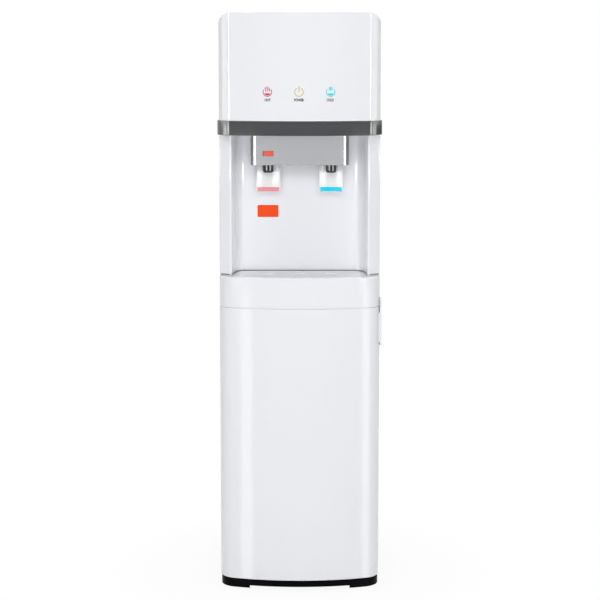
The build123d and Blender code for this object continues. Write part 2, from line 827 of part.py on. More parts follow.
def make_tap_nozzles():
    """Two turned nozzles below the housing, each with a rounded mouth."""
    with BuildPart() as tap_nozzles:
        for x in tap_places:
            with BuildSketch(Plane.XZ.offset(-nozzle_y)):
                with BuildLine():
                    Polyline(
                        (x + nozzle_bore / 2, nozzle_bottom),
                        (x + nozzle_radius - 2.2, nozzle_bottom),
                        (x + nozzle_radius - 0.6, nozzle_bottom + 2),
                        (x + nozzle_radius, housing_bottom - 3),
                        (x + nozzle_radius, housing_floor_top),
                        (x + nozzle_bore / 2, housing_floor_top),
                        close=True,
                    )
                make_face()
            revolve(axis=Axis((x, nozzle_y, 0), (0, 0, 1)))
    save(tap_nozzles, "tap_nozzles")


nut_across = 22.0
nut_depth = 6.0


def make_tap_nuts():
    """Hexagon nuts that clamp the shanks behind the alcove."""
    with BuildPart() as tap_nuts:
        with BuildSketch(Plane.XZ.offset(-alcove_back_y - wall)):
            with Locations(*[(x, shank_z) for x in tap_places]):
                RegularPolygon(nut_across / 2, 6, major_radius=False)
                Circle(shank_radius, mode=Mode.SUBTRACT)
        extrude(amount=-nut_depth)
    save(tap_nuts, "tap_nuts")


pin_end_x = lever_arm_x + lever_arm_thickness / 2 + 5.0
pin_head_radius = 3.6
pin_head_length = 1.2


def make_lever_pins():
    """Pivot pins of the two levers, headed at one end."""
    with BuildPart() as lever_pins:
        for x in tap_places:
            plain_end = (x - pin_end_x, pivot_y, pivot_z)
            headed_end = (x + pin_end_x, pivot_y, pivot_z)
            add(cylinder_along((1, 0, 0), plain_end, lever_pin_radius, 2 * pin_end_x))
            add(cylinder_along((1, 0, 0), headed_end, pin_head_radius, pin_head_length))
    save(lever_pins, "lever_pins")


spring_wire = 0.45


def make_return_springs():
    """Coil springs: one on each lever pin, and one behind the child-lock button."""
    with BuildPart() as return_springs:
        for x in tap_places:
            start = x + lever_arm_x + lever_arm_thickness / 2 + 0.9
            place = Plane(origin=(start, pivot_y, pivot_z), z_dir=(1, 0, 0))
            add(coil_spring(place, lever_pin_radius + 0.3 + spring_wire, 3.4, 3))
        place = Plane(origin=(-tap_x, guide_front_y - spring_wire, button_z), z_dir=(0, -1, 0))
        add(coil_spring(place, stem_radius + 0.3 + spring_wire, 1.8, 2))
    save(return_springs, "return_springs")


def coil_spring(place, radius, height, turns):
    """An open coil of wire that rises from a plane."""
    with BuildPart() as spring:
        with BuildLine() as route:
            Helix(pitch=height / turns, height=height, radius=radius)
        with BuildSketch(Plane(origin=route.line @ 0, z_dir=route.line % 0)):
            RegularPolygon(spring_wire, 4)
        sweep(is_frenet=True)
    return spring.part.moved(place.location)


def paddle_sector(x, inner, outer, width):
    """Plan section of a curved plate that is hollow towards the front."""
    centre_y = paddle_y - paddle_radius
    with BuildSketch() as sector:
        with Locations((x, centre_y)):
            Circle(outer)
            Circle(inner, mode=Mode.SUBTRACT)
        with Locations((x, centre_y + outer)):
            Rectangle(width, outer, mode=Mode.INTERSECT)
    return sector.sketch


lever_arm_half_depth = 4.2
foot_flare = 2.5  # the paddle is this much wider each side at its foot


def make_lever(name, x):
    """Cup lever: a hollow paddle hung from its pin by two arms."""
    foot_x = paddle_width / 2
    neck_x = foot_x - foot_flare
    arm_front_y = pivot_y - lever_arm_half_depth
    arm_rear_y = pivot_y + lever_arm_half_depth
    arm_bottom = paddle_top - 8
    with BuildPart() as lever:
        with BuildSketch(Plane.XY.offset(paddle_bottom)):
            add(paddle_sector(x, paddle_radius, paddle_radius + paddle_thickness, paddle_width))
        extrude(amount=paddle_top - paddle_bottom)
        with BuildSketch(Plane.XZ.offset(-pivot_y - 20)):
            with BuildLine():
                Polyline(
                    (x - foot_x, paddle_bottom),
                    (x + foot_x, paddle_bottom),
                    (x + foot_x, paddle_bottom + 14),
                    (x + neck_x, paddle_bottom + 24),
                    (x + neck_x, paddle_top),
                    (x - neck_x, paddle_top),
                    (x - neck_x, paddle_bottom + 24),
                    (x - foot_x, paddle_bottom + 14),
                    close=True,
                )
            make_face()
        extrude(amount=60, mode=Mode.INTERSECT)
        for offset_x in (-lever_arm_x, lever_arm_x):
            left = x + offset_x - lever_arm_thickness / 2
            with BuildSketch(Plane.YZ.offset(left)):
                with BuildLine():
                    Polyline(
                        (arm_front_y, pivot_z),
                        (arm_front_y, arm_bottom),
                        (arm_rear_y, arm_bottom),
                        (arm_rear_y, pivot_z),
                    )
                    ThreePointArc(
                        (arm_rear_y, pivot_z),
                        (pivot_y, pivot_z + lever_arm_half_depth),
                        (arm_front_y, pivot_z),
                    )
                make_face()
                with Locations((pivot_y, pivot_z)):
                    Circle(lever_pin_radius + running, mode=Mode.SUBTRACT)
            extrude(amount=lever_arm_thickness)
    save(lever, name)


def make_lever_strip(name, x):
    """Coloured strip set along the bottom of a lever's paddle."""
    with BuildPart() as strip:
        with BuildSketch(Plane.XY.offset(paddle_bottom + strip_rise)):
            add(paddle_sector(x, paddle_radius - strip_thickness, paddle_radius, strip_width))
        extrude(amount=strip_height)
    save(strip, name)


def make_child_lock_button():
    """Push button for hot water, with a flange behind the housing and a guided stem."""
    face_y = plate_front_y + 0.5
    flange_front_y = housing_front_y + wall + 0.3
    with BuildPart() as child_lock_button:
        with BuildSketch(Plane.XZ.offset(-face_y)):
            with Locations((-tap_x, button_z)):
                RectangleRounded(button_width, button_height, 1.5)
        extrude(amount=-(flange_front_y - face_y))
        fillet(child_lock_button.faces().sort_by(Axis.Y)[0].edges(), 0.6)
        with BuildSketch(Plane.XZ.offset(-flange_front_y)):
            with Locations((-tap_x, button_z)):
                Rectangle(button_window + 4, button_height + 3)
        extrude(amount=-2)
        with BuildSketch(Plane.XZ.offset(-flange_front_y - 2)):
            with Locations((-tap_x, button_z)):
                Circle(stem_radius)
        extrude(amount=-(guide_rear_y + 1 - flange_front_y - 2))
    save(child_lock_button, "child_lock_button")


# ---- Door ------------------------------------------------------------------------------------------
def make_door_outer():
    """Bowed outer shell of the door, open behind, with bores for its two bushes."""
    with BuildPart() as door_outer:
        with BuildSketch(Plane.XY.offset(door_bottom)):
            add(bowed_outline(0, door_rear_y))
        extrude(amount=door_top - door_bottom)
        rims = door_outer.faces().filter_by(Axis.Z).edges().filter_by(
            lambda e: e.center().Y < door_rear_y - 1
        )
        fillet(rims, 1.5)
        with BuildSketch(Plane.XY.offset(door_bottom + wall)):
            add(bowed_outline(wall, door_rear_y + 20))
        extrude(amount=door_top - door_bottom - 2 * wall, mode=Mode.SUBTRACT)
        with Locations((hinge_x, hinge_y, door_bottom)):
            Cylinder(
                bush_radius,
                door_top - door_bottom,
                align=(Align.CENTER, Align.CENTER, Align.MIN),
                mode=Mode.SUBTRACT,
            )
        slot = block(
            (half_width - wall - tenon_depth, half_width + 1),
            (handle_front_y + tenon_inset, handle_rear_y - tenon_inset),
            (tenon_bottom, tenon_top),
        )
        add(slot, mode=Mode.SUBTRACT)
    save(door_outer, "door_outer")


def pan_cavity():
    """The hollow of the door's pan, rounded where its floor meets its sides."""
    with BuildPart() as cavity:
        add(
            block(
                (-pan_half_width, pan_half_width),
                (pan_front_y, door_rear_y + 1),
                (pan_bottom, pan_top),
            )
        )
        fillet(cavity.faces().sort_by(Axis.Y)[0].edges(), pan_radius - liner)
    return cavity.part


def make_door_liner():
    """Inner lining of the door: a rim with a deep pan that leaves room for the bottle."""
    half = half_width - wall - cover_fit
    bottom = door_bottom + wall + cover_fit
    top = door_top - wall - cover_fit
    with BuildPart() as door_liner:
        add(block((-half, half), (door_rear_y - liner, door_rear_y), (bottom, top)))
        outer = block(
            (-pan_half_width - liner, pan_half_width + liner),
            (pan_front_y - liner, door_rear_y),
            (pan_bottom - liner, pan_top + liner),
        )
        add(outer)
        fillet(door_liner.faces().sort_by(Axis.Y)[0].edges(), pan_radius)
        add(pan_cavity(), mode=Mode.SUBTRACT)
        pocket = block(
            (magnet_x - magnet_width / 2, magnet_x + magnet_width / 2),
            (door_rear_y - liner, door_rear_y),
            (magnet_z - magnet_height / 2, magnet_z + magnet_height / 2),
        )
        add(pocket, mode=Mode.SUBTRACT)
    save(door_liner, "door_liner")


def make_door_handle():
    """Side grip: a slim lip outside the door, held by a tenon through the door's side."""
    with BuildPart() as door_handle:
        add(
            block(
                (half_width, half_width + handle_step),
                (handle_front_y, handle_rear_y),
                (handle_bottom, handle_top),
            )
        )
        fillet(door_handle.edges().filter_by(Axis.X), handle_corner)
        fillet(door_handle.faces().sort_by(Axis.X)[-1].edges(), handle_edge_radius)
        relief = block(
            (half_width - 1, half_width + 0.6),
            (handle_front_y - 1, handle_rear_y + 1),
            (door_top - 1, handle_top + 1),
        )
        add(relief, mode=Mode.SUBTRACT)
        tenon = block(
            (half_width - wall - tenon_depth, half_width + 0.2),
            (handle_front_y + tenon_inset, handle_rear_y - tenon_inset),
            (tenon_bottom, tenon_top),
        )
        add(tenon)
    save(door_handle, "door_handle")


def make_door_magnet():
    """Catch magnet set in the door's lining."""
    with BuildPart() as door_magnet:
        add(
            block(
                (magnet_x - magnet_width / 2, magnet_x + magnet_width / 2),
                (door_rear_y - 3, strike_front_y - 0.3),
                (magnet_z - magnet_height / 2, magnet_z + magnet_height / 2),
            )
        )
    save(door_magnet, "door_magnet")


strike_front_y = cabinet_front_y + sheet - 1.5


def make_door_strike():
    """Steel strike for the magnet, on the front flange of the shelf."""
    with BuildPart() as door_strike:
        add(
            block(
                (magnet_x - magnet_width / 2 - 3, magnet_x + magnet_width / 2 + 3),
                (strike_front_y, cabinet_front_y + sheet),
                (magnet_z - magnet_height / 2 - 1, magnet_z + magnet_height / 2 + 1),
            )
        )
    save(door_strike, "door_strike")


def make_door_bushes():
    """Flanged bushes in the top and bottom of the door."""
    with BuildPart() as door_bushes:
        for end_z, up, gap in (
            (door_bottom, 1, door_bottom - plinth_top),
            (door_top, -1, fascia_bottom - door_top),
        ):
            flange = gap - seam
            sleeve = cylinder_along((0, 0, up), (hinge_x, hinge_y, end_z), bush_radius, bush_length)
            add(sleeve)
            collar = cylinder_along((0, 0, -up), (hinge_x, hinge_y, end_z), bush_flange_radius, flange)
            add(collar)
        bore = cylinder_along(
            (0, 0, 1), (hinge_x, hinge_y, 0), hinge_pin_radius + running, fascia_bottom + 5
        )
        add(bore, mode=Mode.SUBTRACT)
    save(door_bushes, "door_bushes")


bracket = 2.0
bracket_left_x = hinge_x - hinge_pin_radius - 0.4
bracket_right_x = -118.0
bracket_front_y = hinge_y - 6.0
bracket_rear_y = -96.0


def make_door_hinges():
    """Upper and lower hinge brackets, each with its pin riveted in."""
    lower_z = plinth_top - plinth_deck
    upper_z = fascia_bottom + wall
    pin_reach = 14.0
    with BuildPart() as door_hinges:
        plate = ((bracket_left_x, bracket_right_x), (bracket_front_y, bracket_rear_y))
        add(block(*plate, (lower_z - bracket, lower_z)))
        pin_foot = (hinge_x, hinge_y, lower_z - bracket)
        pin_length = door_bottom + pin_reach - lower_z
        add(cylinder_along((0, 0, 1), pin_foot, hinge_pin_radius, pin_length))
        add(block(*plate, (upper_z, upper_z + bracket)))
        behind_hem = (cabinet_front_y + sheet, bracket_rear_y)
        add(block((-side_inner_x, bracket_left_x), behind_hem, (upper_z, upper_z + bracket)))
        add(block((-side_inner_x, bracket - side_inner_x), behind_hem, (upper_z - 22, upper_z + bracket)))
        pin_head = (hinge_x, hinge_y, upper_z + bracket)
        pin_length = upper_z + bracket - door_top + pin_reach
        add(cylinder_along((0, 0, -1), pin_head, hinge_pin_radius, pin_length))
    save(door_hinges, "door_hinges")


# ---- Water path ------------------------------------------------------------------------------------
def vessel(x, y, bottom, radius, height, inset=0.0):
    """The form of a closed round tank with coned ends, or of the space inside its wall."""
    with BuildPart() as tank:
        with BuildSketch(Plane.XY.offset(bottom + inset)):
            with Locations((x, y)):
                Circle(radius - inset)
        extrude(amount=height - 2 * inset)
        chamfer(tank.faces().filter_by(Axis.Z).edges(), tank_end_cone - inset)
    return tank.part


link_z = tank_shelf_top + 42.0
hot_base = 8.0


def make_hot_tank():
    """Stainless hot tank on a ring foot, with stubs for the tap, the feed and the drain."""
    bottom = tank_shelf_top + hot_base
    with BuildPart() as hot_tank:
        add(vessel(hot_tank_x, hot_tank_y, bottom, hot_tank_radius, hot_tank_height))
        with BuildSketch(Plane.XY.offset(tank_shelf_top)):
            with Locations((hot_tank_x, hot_tank_y)):
                Circle(hot_tank_radius - 14)
                Circle(hot_tank_radius - 17, mode=Mode.SUBTRACT)
        extrude(amount=hot_base + 1)
        outlet_length = hot_tank_y - hose_joint_y
        add(cylinder_along((0, 1, 0), (-tap_x, hose_joint_y, shank_z), stub_radius, outlet_length))
        link_length = cold_tank_x - insulation_radius - hot_tank_x
        add(cylinder_along((1, 0, 0), (hot_tank_x, hot_tank_y, link_z), stub_radius, link_length))
        inside = vessel(hot_tank_x, hot_tank_y, bottom, hot_tank_radius, hot_tank_height, tank_wall)
        add(inside, mode=Mode.SUBTRACT)
    save(hot_tank, "hot_tank")


heater_z = tank_shelf_top + hot_base + 100.0
heater_height = 46.0
heater_thickness = 3.0
hose_joint_y = shank_rear_y + 3.0


def make_heater_band():
    """Clamped heater band round the hot tank."""
    with BuildPart() as heater_band:
        with BuildSketch(Plane.XY.offset(heater_z)):
            with Locations((hot_tank_x, hot_tank_y)):
                Circle(hot_tank_radius + heater_thickness)
                Circle(hot_tank_radius, mode=Mode.SUBTRACT)
        extrude(amount=heater_height)
        clamp = block(
            (hot_tank_x - 9, hot_tank_x + 9),
            (hot_tank_y + hot_tank_radius + 1, hot_tank_y + hot_tank_radius + 10),
            (heater_z, heater_z + heater_height),
        )
        add(clamp)
    save(heater_band, "heater_band")


def make_cold_tank():
    """Stainless cold tank with its outlet, its link to the hot tank and its inlet on top."""
    bottom = tank_shelf_top + insulation_base
    with BuildPart() as cold_tank:
        add(vessel(cold_tank_x, cold_tank_y, bottom, cold_tank_radius, cold_tank_height))
        outlet_length = cold_tank_y - hose_joint_y
        add(cylinder_along((0, 1, 0), (tap_x, hose_joint_y, shank_z), stub_radius, outlet_length))
        link_x = cold_tank_x - insulation_radius
        add(cylinder_along((1, 0, 0), (link_x, hot_tank_y, link_z), stub_radius, insulation_radius))
        inlet_bottom = bottom + cold_tank_height - 1
        inlet_foot = (cold_tank_x, cold_tank_y, inlet_bottom)
        add(cylinder_along((0, 0, 1), inlet_foot, stub_radius, cold_inlet_top - inlet_bottom))
        inside = vessel(cold_tank_x, cold_tank_y, bottom, cold_tank_radius, cold_tank_height, tank_wall)
        add(inside, mode=Mode.SUBTRACT)
    save(cold_tank, "cold_tank")


coil_rise = 88.0  # first turn, above the foot of the cold tank
coil_turns = 3
coil_pitch = 20.0


def make_evaporator_coil():
    """Evaporator tube, pressed flat against the tank and wound round its upper half."""
    coil_radius = cold_tank_radius + coil_tube_radius + 0.2
    start_z = tank_shelf_top + insulation_base + coil_rise
    place = Plane.XY.offset(start_z).move(Location((cold_tank_x, cold_tank_y, 0)))
    with BuildPart() as evaporator_coil:
        with BuildLine(place) as route:
            Helix(pitch=coil_pitch, height=coil_pitch * coil_turns, radius=coil_radius)
        with BuildSketch(Plane(origin=route.line @ 0, x_dir=(1, 0, 0), z_dir=route.line % 0)):
            Rectangle(2 * coil_tube_radius, 2 * coil_tube_radius)
        sweep(is_frenet=True)
    save(evaporator_coil, "evaporator_coil")


def make_tank_insulation():
    """Foam jacket of the cold tank, in a front and a rear half."""
    pocket_radius = cold_tank_radius + 2 * coil_tube_radius + 0.6
    bottom = tank_shelf_top
    with BuildPart() as tank_insulation:
        with BuildSketch(Plane.XY.offset(bottom)):
            with Locations((cold_tank_x, cold_tank_y)):
                Circle(insulation_radius)
        extrude(amount=insulation_height)
        with BuildSketch(Plane.XY.offset(bottom + insulation_base)):
            with Locations((cold_tank_x, cold_tank_y)):
                Circle(pocket_radius)
        extrude(amount=cold_tank_height + 1, mode=Mode.SUBTRACT)
        hole = stub_radius + 0.3
        reach = insulation_radius + 15
        outlet = cylinder_along((0, 1, 0), (tap_x, cold_tank_y - reach, shank_z), hole, reach)
        add(outlet, mode=Mode.SUBTRACT)
        link = cylinder_along((1, 0, 0), (cold_tank_x - reach, hot_tank_y, link_z), hole, reach)
        add(link, mode=Mode.SUBTRACT)
        middle = (cold_tank_x, cold_tank_y, bottom + insulation_height / 2)
        inlet = cylinder_along((0, 0, 1), middle, hole, insulation_height)
        add(inlet, mode=Mode.SUBTRACT)
        split(bisect_by=Plane.XZ.offset(-cold_tank_y), keep=Keep.BOTH)
    save(tank_insulation, "tank_insulation")


def make_tank_hoses():
    """Short silicone sleeves between the taps and the tanks, and between the two tanks."""
    outer = stub_radius + hose_wall
    start_y = shank_rear_y - 10
    with BuildPart() as tank_hoses:
        for x in tap_places:
            with BuildSketch(Plane.XZ.offset(-start_y)):
                with Locations((x, shank_z)):
                    Circle(outer)
                    Circle(stub_radius, mode=Mode.SUBTRACT)
            extrude(amount=-(hose_end_y - start_y))
        link_start = hot_tank_x + hot_tank_radius + seam
        link_rise = cold_tank_y - hot_tank_y - outer
        link_end = cold_tank_x - sqrt(insulation_radius**2 - link_rise**2) - seam
        with BuildSketch(Plane.YZ.offset(link_start)):
            with Locations((hot_tank_y, link_z)):
                Circle(outer)
                Circle(stub_radius, mode=Mode.SUBTRACT)
        extrude(amount=link_end - link_start)
    save(tank_hoses, "tank_hoses")


hose_end_y = hot_tank_y - hot_tank_radius - 0.6
supply_x = -135.0
supply_y = 130.0
supply_radius = 5.0
hose_hole_radius = 8.0
pump_motor_height = 52.0
pump_head_height = 30.0
pump_head_half = (26.0, 22.0)
spigot_radius = supply_radius - 1.5
pump_outlet_top = shelf_top + pump_motor_height + 14.0


def make_water_pump():
    """Diaphragm pump: a motor, a square head and two spigots."""
    with BuildPart() as water_pump:
        half_x, half_y = pump_head_half
        head = block(
            (pump_x - half_x, pump_x + half_x),
            (pump_y - half_y, pump_y + half_y),
            (shelf_top, shelf_top + pump_head_height),
        )
        add(head)
        fillet(water_pump.edges().filter_by(Axis.Z), 5)
        with BuildSketch(Plane.XY.offset(shelf_top + pump_head_height)):
            with Locations((pump_x, pump_y)):
                Circle(20)
        extrude(amount=pump_motor_height - pump_head_height)
        outlet_root = shelf_top + pump_motor_height - 12
        outlet = (pump_x, pump_y, outlet_root)
        add(cylinder_along((0, 0, 1), outlet, spigot_radius, pump_outlet_top - outlet_root))
        add(cylinder_along((0, 0, -1), (pump_x, pump_y, shelf_top + 5), spigot_radius, 17))
    save(water_pump, "water_pump")


def make_supply_hose():
    """Hose from the pump up the rear corner and over to the cold tank's inlet."""
    over_z = cold_inlet_top + 28
    socket_bottom = (cold_tank_x, cold_tank_y, cold_inlet_top - 8)
    with BuildPart() as supply_hose:
        add(
            hose(
                [
                    (pump_x, pump_y, pump_outlet_top - 10),
                    (pump_x, pump_y, pump_outlet_top + 28),
                    (supply_x, supply_y, pump_outlet_top + 72),
                    (supply_x, supply_y, over_z),
                    (cold_tank_x, cold_tank_y, over_z),
                    socket_bottom,
                ],
                [22, 28, 26, 20],
                supply_radius,
                spigot_radius,
            )
        )
        add(cylinder_along((0, 0, 1), socket_bottom, stub_radius + 1.5, 9))
        add(cylinder_along((0, 0, 1), socket_bottom, stub_radius, 8), mode=Mode.SUBTRACT)
    save(supply_hose, "supply_hose")


def make_suction_probe():
    """Probe that stands in the bottle: a long tube with a foot and a bottle cap."""
    with BuildPart() as suction_probe:
        with BuildSketch(Plane.XZ.offset(-probe_y)):
            with BuildLine():
                Polyline(
                    (probe_x, probe_bottom),
                    (probe_x + probe_radius - 2, probe_bottom),
                    (probe_x + probe_radius, probe_bottom + 8),
                    (probe_x + probe_radius, probe_top),
                    (probe_x + 27, probe_top - 10),
                    (probe_x + 29, probe_top - 10),
                    (probe_x + 29, probe_cap_top - 12),
                    (probe_x + 24, probe_cap_top - 6),
                    (probe_x + 9, probe_cap_top - 6),
                    (probe_x + 9, probe_cap_top),
                    (probe_x, probe_cap_top),
                    close=True,
                )
            make_face()
        revolve(axis=Axis((probe_x, probe_y, 0), (0, 0, 1)))
    save(suction_probe, "suction_probe")


def make_suction_hose():
    """Hose from the probe's cap up through the shelf to the pump."""
    with BuildPart() as suction_hose:
        add(
            hose(
                [
                    (probe_x, probe_y, probe_cap_top),
                    (probe_x, probe_y, probe_cap_top + 30),
                    (pump_x, pump_y, shelf_z - 34),
                    (pump_x, pump_y, shelf_top),
                ],
                [24, 24],
                supply_radius,
                spigot_radius,
            )
        )
    save(suction_hose, "suction_hose")


clip_levels = (150.0, 340.0)
clip_height = 14.0
clip_wall = 3.0


def make_probe_holder():
    """Clips that hold the probe against the left side panel."""
    with BuildPart() as probe_holder:
        for z in clip_levels:
            levels = (z, z + clip_height)
            add(block((-side_inner_x, probe_x - 2), (probe_y - 10, probe_y + 10), levels))
            add(cylinder_along((0, 0, 1), (probe_x, probe_y, z), probe_radius + clip_wall, clip_height))
            mouth = block((probe_x + 3, probe_x + 12), (probe_y - 12, probe_y + 12), levels)
            add(mouth, mode=Mode.SUBTRACT)
            bore = cylinder_along((0, 0, 1), (probe_x, probe_y, z), probe_radius, clip_height)
            add(bore, mode=Mode.SUBTRACT)
    save(probe_holder, "probe_holder")


def make_drain_pipe():
    """Drain from the bottom of the hot tank, out through the rear panel."""
    with BuildPart() as drain_pipe:
        add(
            hose(
                [
                    (hot_tank_x, hot_tank_y, tank_shelf_top + hot_base),
                    (hot_tank_x, hot_tank_y, drain_z),
                    (hot_tank_x, drain_end_y, drain_z),
                ],
                [16],
                drain_pipe_radius,
                drain_pipe_bore,
            )
        )
    save(drain_pipe, "drain_pipe")


cap_radius = 12.0
cap_length = 16.0


def make_drain_cap():
    """Ribbed cap on the end of the drain."""
    start_y = rear_panel_y + 1
    with BuildPart() as drain_cap:
        with BuildSketch(Plane.XZ.offset(-start_y)):
            with Locations((hot_tank_x, drain_z)):
                Circle(cap_radius)
                with PolarLocations(cap_radius + 0.6, 12):
                    Circle(1.8, mode=Mode.SUBTRACT)
        extrude(amount=-cap_length)
        with BuildSketch(Plane.XZ.offset(-start_y)):
            with Locations((hot_tank_x, drain_z)):
                Circle(drain_pipe_radius + running)
        extrude(amount=-(drain_end_y + seam - start_y), mode=Mode.SUBTRACT)
    save(drain_cap, "drain_cap")


# ---- Cooling ----------------------------------------------------------------------------------------
grommet_places = [(compressor_x + sx * 52, compressor_y + sy * 48) for sx in (-1, 1) for sy in (-1, 1)]


def make_compressor():
    """Hermetic compressor: two welded bowls on a base plate, with a terminal box."""
    base_z = shelf_top + grommet_height
    plate_top = base_z + compressor_plate
    x = compressor_x
    shell_x = compressor_x + compressor_radius
    with BuildPart() as compressor:
        add(
            block(
                (compressor_x - 66, compressor_x + 66),
                (compressor_y - 60, compressor_y + 60),
                (base_z, plate_top),
            )
        )
        fillet(compressor.edges().filter_by(Axis.Z), 12)
        with BuildSketch(Plane.XZ.offset(-compressor_y)):
            with BuildLine():
                Polyline(
                    (x, plate_top),
                    (x + 44, plate_top),
                    (shell_x - 4, base_z + 22),
                    (shell_x - 3, base_z + 74),
                    (shell_x, base_z + 76),
                    (shell_x, base_z + 82),
                    (shell_x - 5, base_z + 84),
                    (shell_x - 7, base_z + compressor_height - 38),
                    (shell_x - 16, base_z + compressor_height - 17),
                    (shell_x - 34, base_z + compressor_height - 4),
                    (x + 12, base_z + compressor_height),
                    (x, base_z + compressor_height),
                    close=True,
                )
            make_face()
        revolve(axis=Axis((compressor_x, compressor_y, 0), (0, 0, 1)))
        terminal = block(
            (compressor_x - 24, compressor_x + 24),
            (compressor_y - compressor_radius - 14, compressor_y - compressor_radius + 12),
            (base_z + 30, base_z + 70),
        )
        add(terminal)
        stub_x = compressor_x - 50
        add(cylinder_along((-1, 0, 0), (stub_x, stub_y, stub_z), discharge_radius, stub_x - line_x))
    save(compressor, "compressor")


line_x = compressor_x - 81.0
line_z = condenser_top
stub_y = compressor_y + 20.0
stub_z = shelf_top + grommet_height + 60.0
discharge_radius = 4.0
compressor_plate = 3.0
line_turn_y = compressor_y + 60.0


def make_compressor_grommets():
    """Four rubber mounts under the compressor's base plate."""
    with BuildPart() as compressor_grommets:
        with BuildSketch(Plane.XY.offset(shelf_top)):
            with Locations(*grommet_places):
                Circle(grommet_radius)
        extrude(amount=grommet_height)
    save(compressor_grommets, "compressor_grommets")


def make_refrigerant_line():
    """Discharge line from the compressor's stub, out through the rear panel to the condenser."""
    with BuildPart() as refrigerant_line:
        add(
            hose(
                [
                    (line_x, stub_y + discharge_radius, stub_z),
                    (line_x, line_turn_y, stub_z),
                    (line_x, line_turn_y, line_z),
                    (line_x, condenser_y - condenser_tube_radius, line_z),
                ],
                [12, 8],
                condenser_tube_radius,
                sides=8,
            )
        )
    save(refrigerant_line, "refrigerant_line")


def make_condenser():
    """Wire-on-tube condenser: one serpentine tube between two rows of upright wires."""
    bend = condenser_pitch / 2
    with BuildPart() as condenser:
        with BuildLine() as route:
            for run in range(condenser_runs):
                z = condenser_bottom + run * condenser_pitch
                side = 1 if run % 2 == 0 else -1
                start = (-side * condenser_half_width, condenser_y, z)
                end = (side * condenser_half_width, condenser_y, z)
                Line(start, end)
                if run < condenser_runs - 1:
                    ThreePointArc(
                        end,
                        (side * (condenser_half_width + bend), condenser_y, z + bend),
                        (end[0], condenser_y, z + condenser_pitch),
                    )
        with BuildSketch(Plane(origin=route.line @ 0, z_dir=route.line % 0)):
            RegularPolygon(condenser_tube_radius, 8)
        sweep()
        wire_offset = condenser_tube_radius + wire_radius + weld_gap
        with BuildSketch(Plane.XY.offset(condenser_bottom - wire_overrun)):
            for y in (condenser_y - wire_offset, condenser_y + wire_offset):
                with Locations((0, y)):
                    with GridLocations(wire_pitch, 1, wires_per_row, 1):
                        Rectangle(2 * wire_radius, 2 * wire_radius)
        extrude(amount=condenser_top - condenser_bottom + 2 * wire_overrun)
    save(condenser, "condenser")


bracket_x = 5 * wire_pitch  # clear of the wires
bracket_half = (6.0, 7.0)


def make_condenser_brackets():
    """Four brackets that carry the condenser on the rear panel, each grooved for the tube."""
    with BuildPart() as condenser_brackets:
        half_x, half_z = bracket_half
        for x in (-bracket_x, bracket_x):
            for z in (condenser_bottom, condenser_top):
                add(block((x - half_x, x + half_x), (rear_panel_y, condenser_y), (z - half_z, z + half_z)))
                groove = cylinder_along((1, 0, 0), (x - 10, condenser_y, z), condenser_tube_radius, 20)
                add(groove, mode=Mode.SUBTRACT)
    save(condenser_brackets, "condenser_brackets")


def make_filter_dryer():
    """Filter dryer under the condenser, joined to its lower end."""
    x = -condenser_half_width
    outlet_z = condenser_bottom - condenser_tube_radius
    with BuildPart() as filter_dryer:
        with BuildSketch(Plane.XZ.offset(-condenser_y)):
            with BuildLine():
                Polyline(
                    (x, condenser_bottom - 76),
                    (x + 3, condenser_bottom - 76),
                    (x + 3, condenser_bottom - 70),
                    (x + 9, condenser_bottom - 62),
                    (x + 9, condenser_bottom - 22),
                    (x + 3, condenser_bottom - 14),
                    (x + 3, outlet_z),
                    (x, outlet_z),
                    close=True,
                )
            make_face()
        revolve(axis=Axis((x, condenser_y, 0), (0, 0, 1)))
    save(filter_dryer, "filter_dryer")


spacer_x = half_width - 25.0
spacer_levels = (70.0, side_top - 100.0)
spacer_places = [(x, z) for x in (-spacer_x, spacer_x) for z in spacer_levels]
spacer_radius = 13.0
spacer_taper = 8.0


def make_wall_spacers():
    """Four buffers that keep the condenser clear of the wall."""
    with BuildPart() as wall_spacers:
        with BuildSketch(Plane.XZ.offset(-rear_panel_y)):
            with Locations(*spacer_places):
                Circle(spacer_radius)
        extrude(amount=-(back_y - rear_panel_y), taper=spacer_taper)
    save(wall_spacers, "wall_spacers")


# ---- Electrics --------------------------------------------------------------------------------------
board_thickness = 1.6
lamp_radius = 2.5
lamp_gap = 1.2  # between a lamp and the skin in front of it


def make_indicator_board():
    """Indicator board on the head cover's posts, with a lamp behind each of the three signs."""
    with BuildPart() as indicator_board:
        board_z_range = (board_z - board_height / 2, board_z + board_height / 2)
        depth_range = (board_y, board_y + board_thickness)
        add(block((-board_half_length, board_half_length), depth_range, board_z_range))
        for x in (-tap_x, 0, tap_x):
            skin_y = front_y + bow_radius - sqrt(bow_radius**2 - x**2) + wall + lamp_gap
            add(cylinder_along((0, 1, 0), (x, skin_y, board_z), lamp_radius, board_y - skin_y))
    save(indicator_board, "indicator_board")


control_box_x = (12.0, 132.0)
control_box_z = (side_top - 70.0, side_top - 10.0)
control_box_front_y = 108.0


def make_control_box():
    """Box with the relay and thermostat, on the inside of the rear panel."""
    with BuildPart() as control_box:
        add(block(control_box_x, (control_box_front_y, cabinet_rear_y), control_box_z))
        fillet(control_box.edges().filter_by(Axis.Y), 5)
        lid = block(
            (control_box_x[0] + 6, control_box_x[1] - 6),
            (control_box_front_y - 2, control_box_front_y),
            (control_box_z[0] + 5, control_box_z[1] - 5),
        )
        add(lid)
    save(control_box, "control_box")


bezel_width = 24.0
bezel_height = 31.0
bezel_body_width = 20.0
bezel_body_height = 27.0
rocker_width = 14.0
rocker_half_height = 10.0
rocker_pivot_y = rear_panel_y - 1.0
trunnion_radius = 1.5


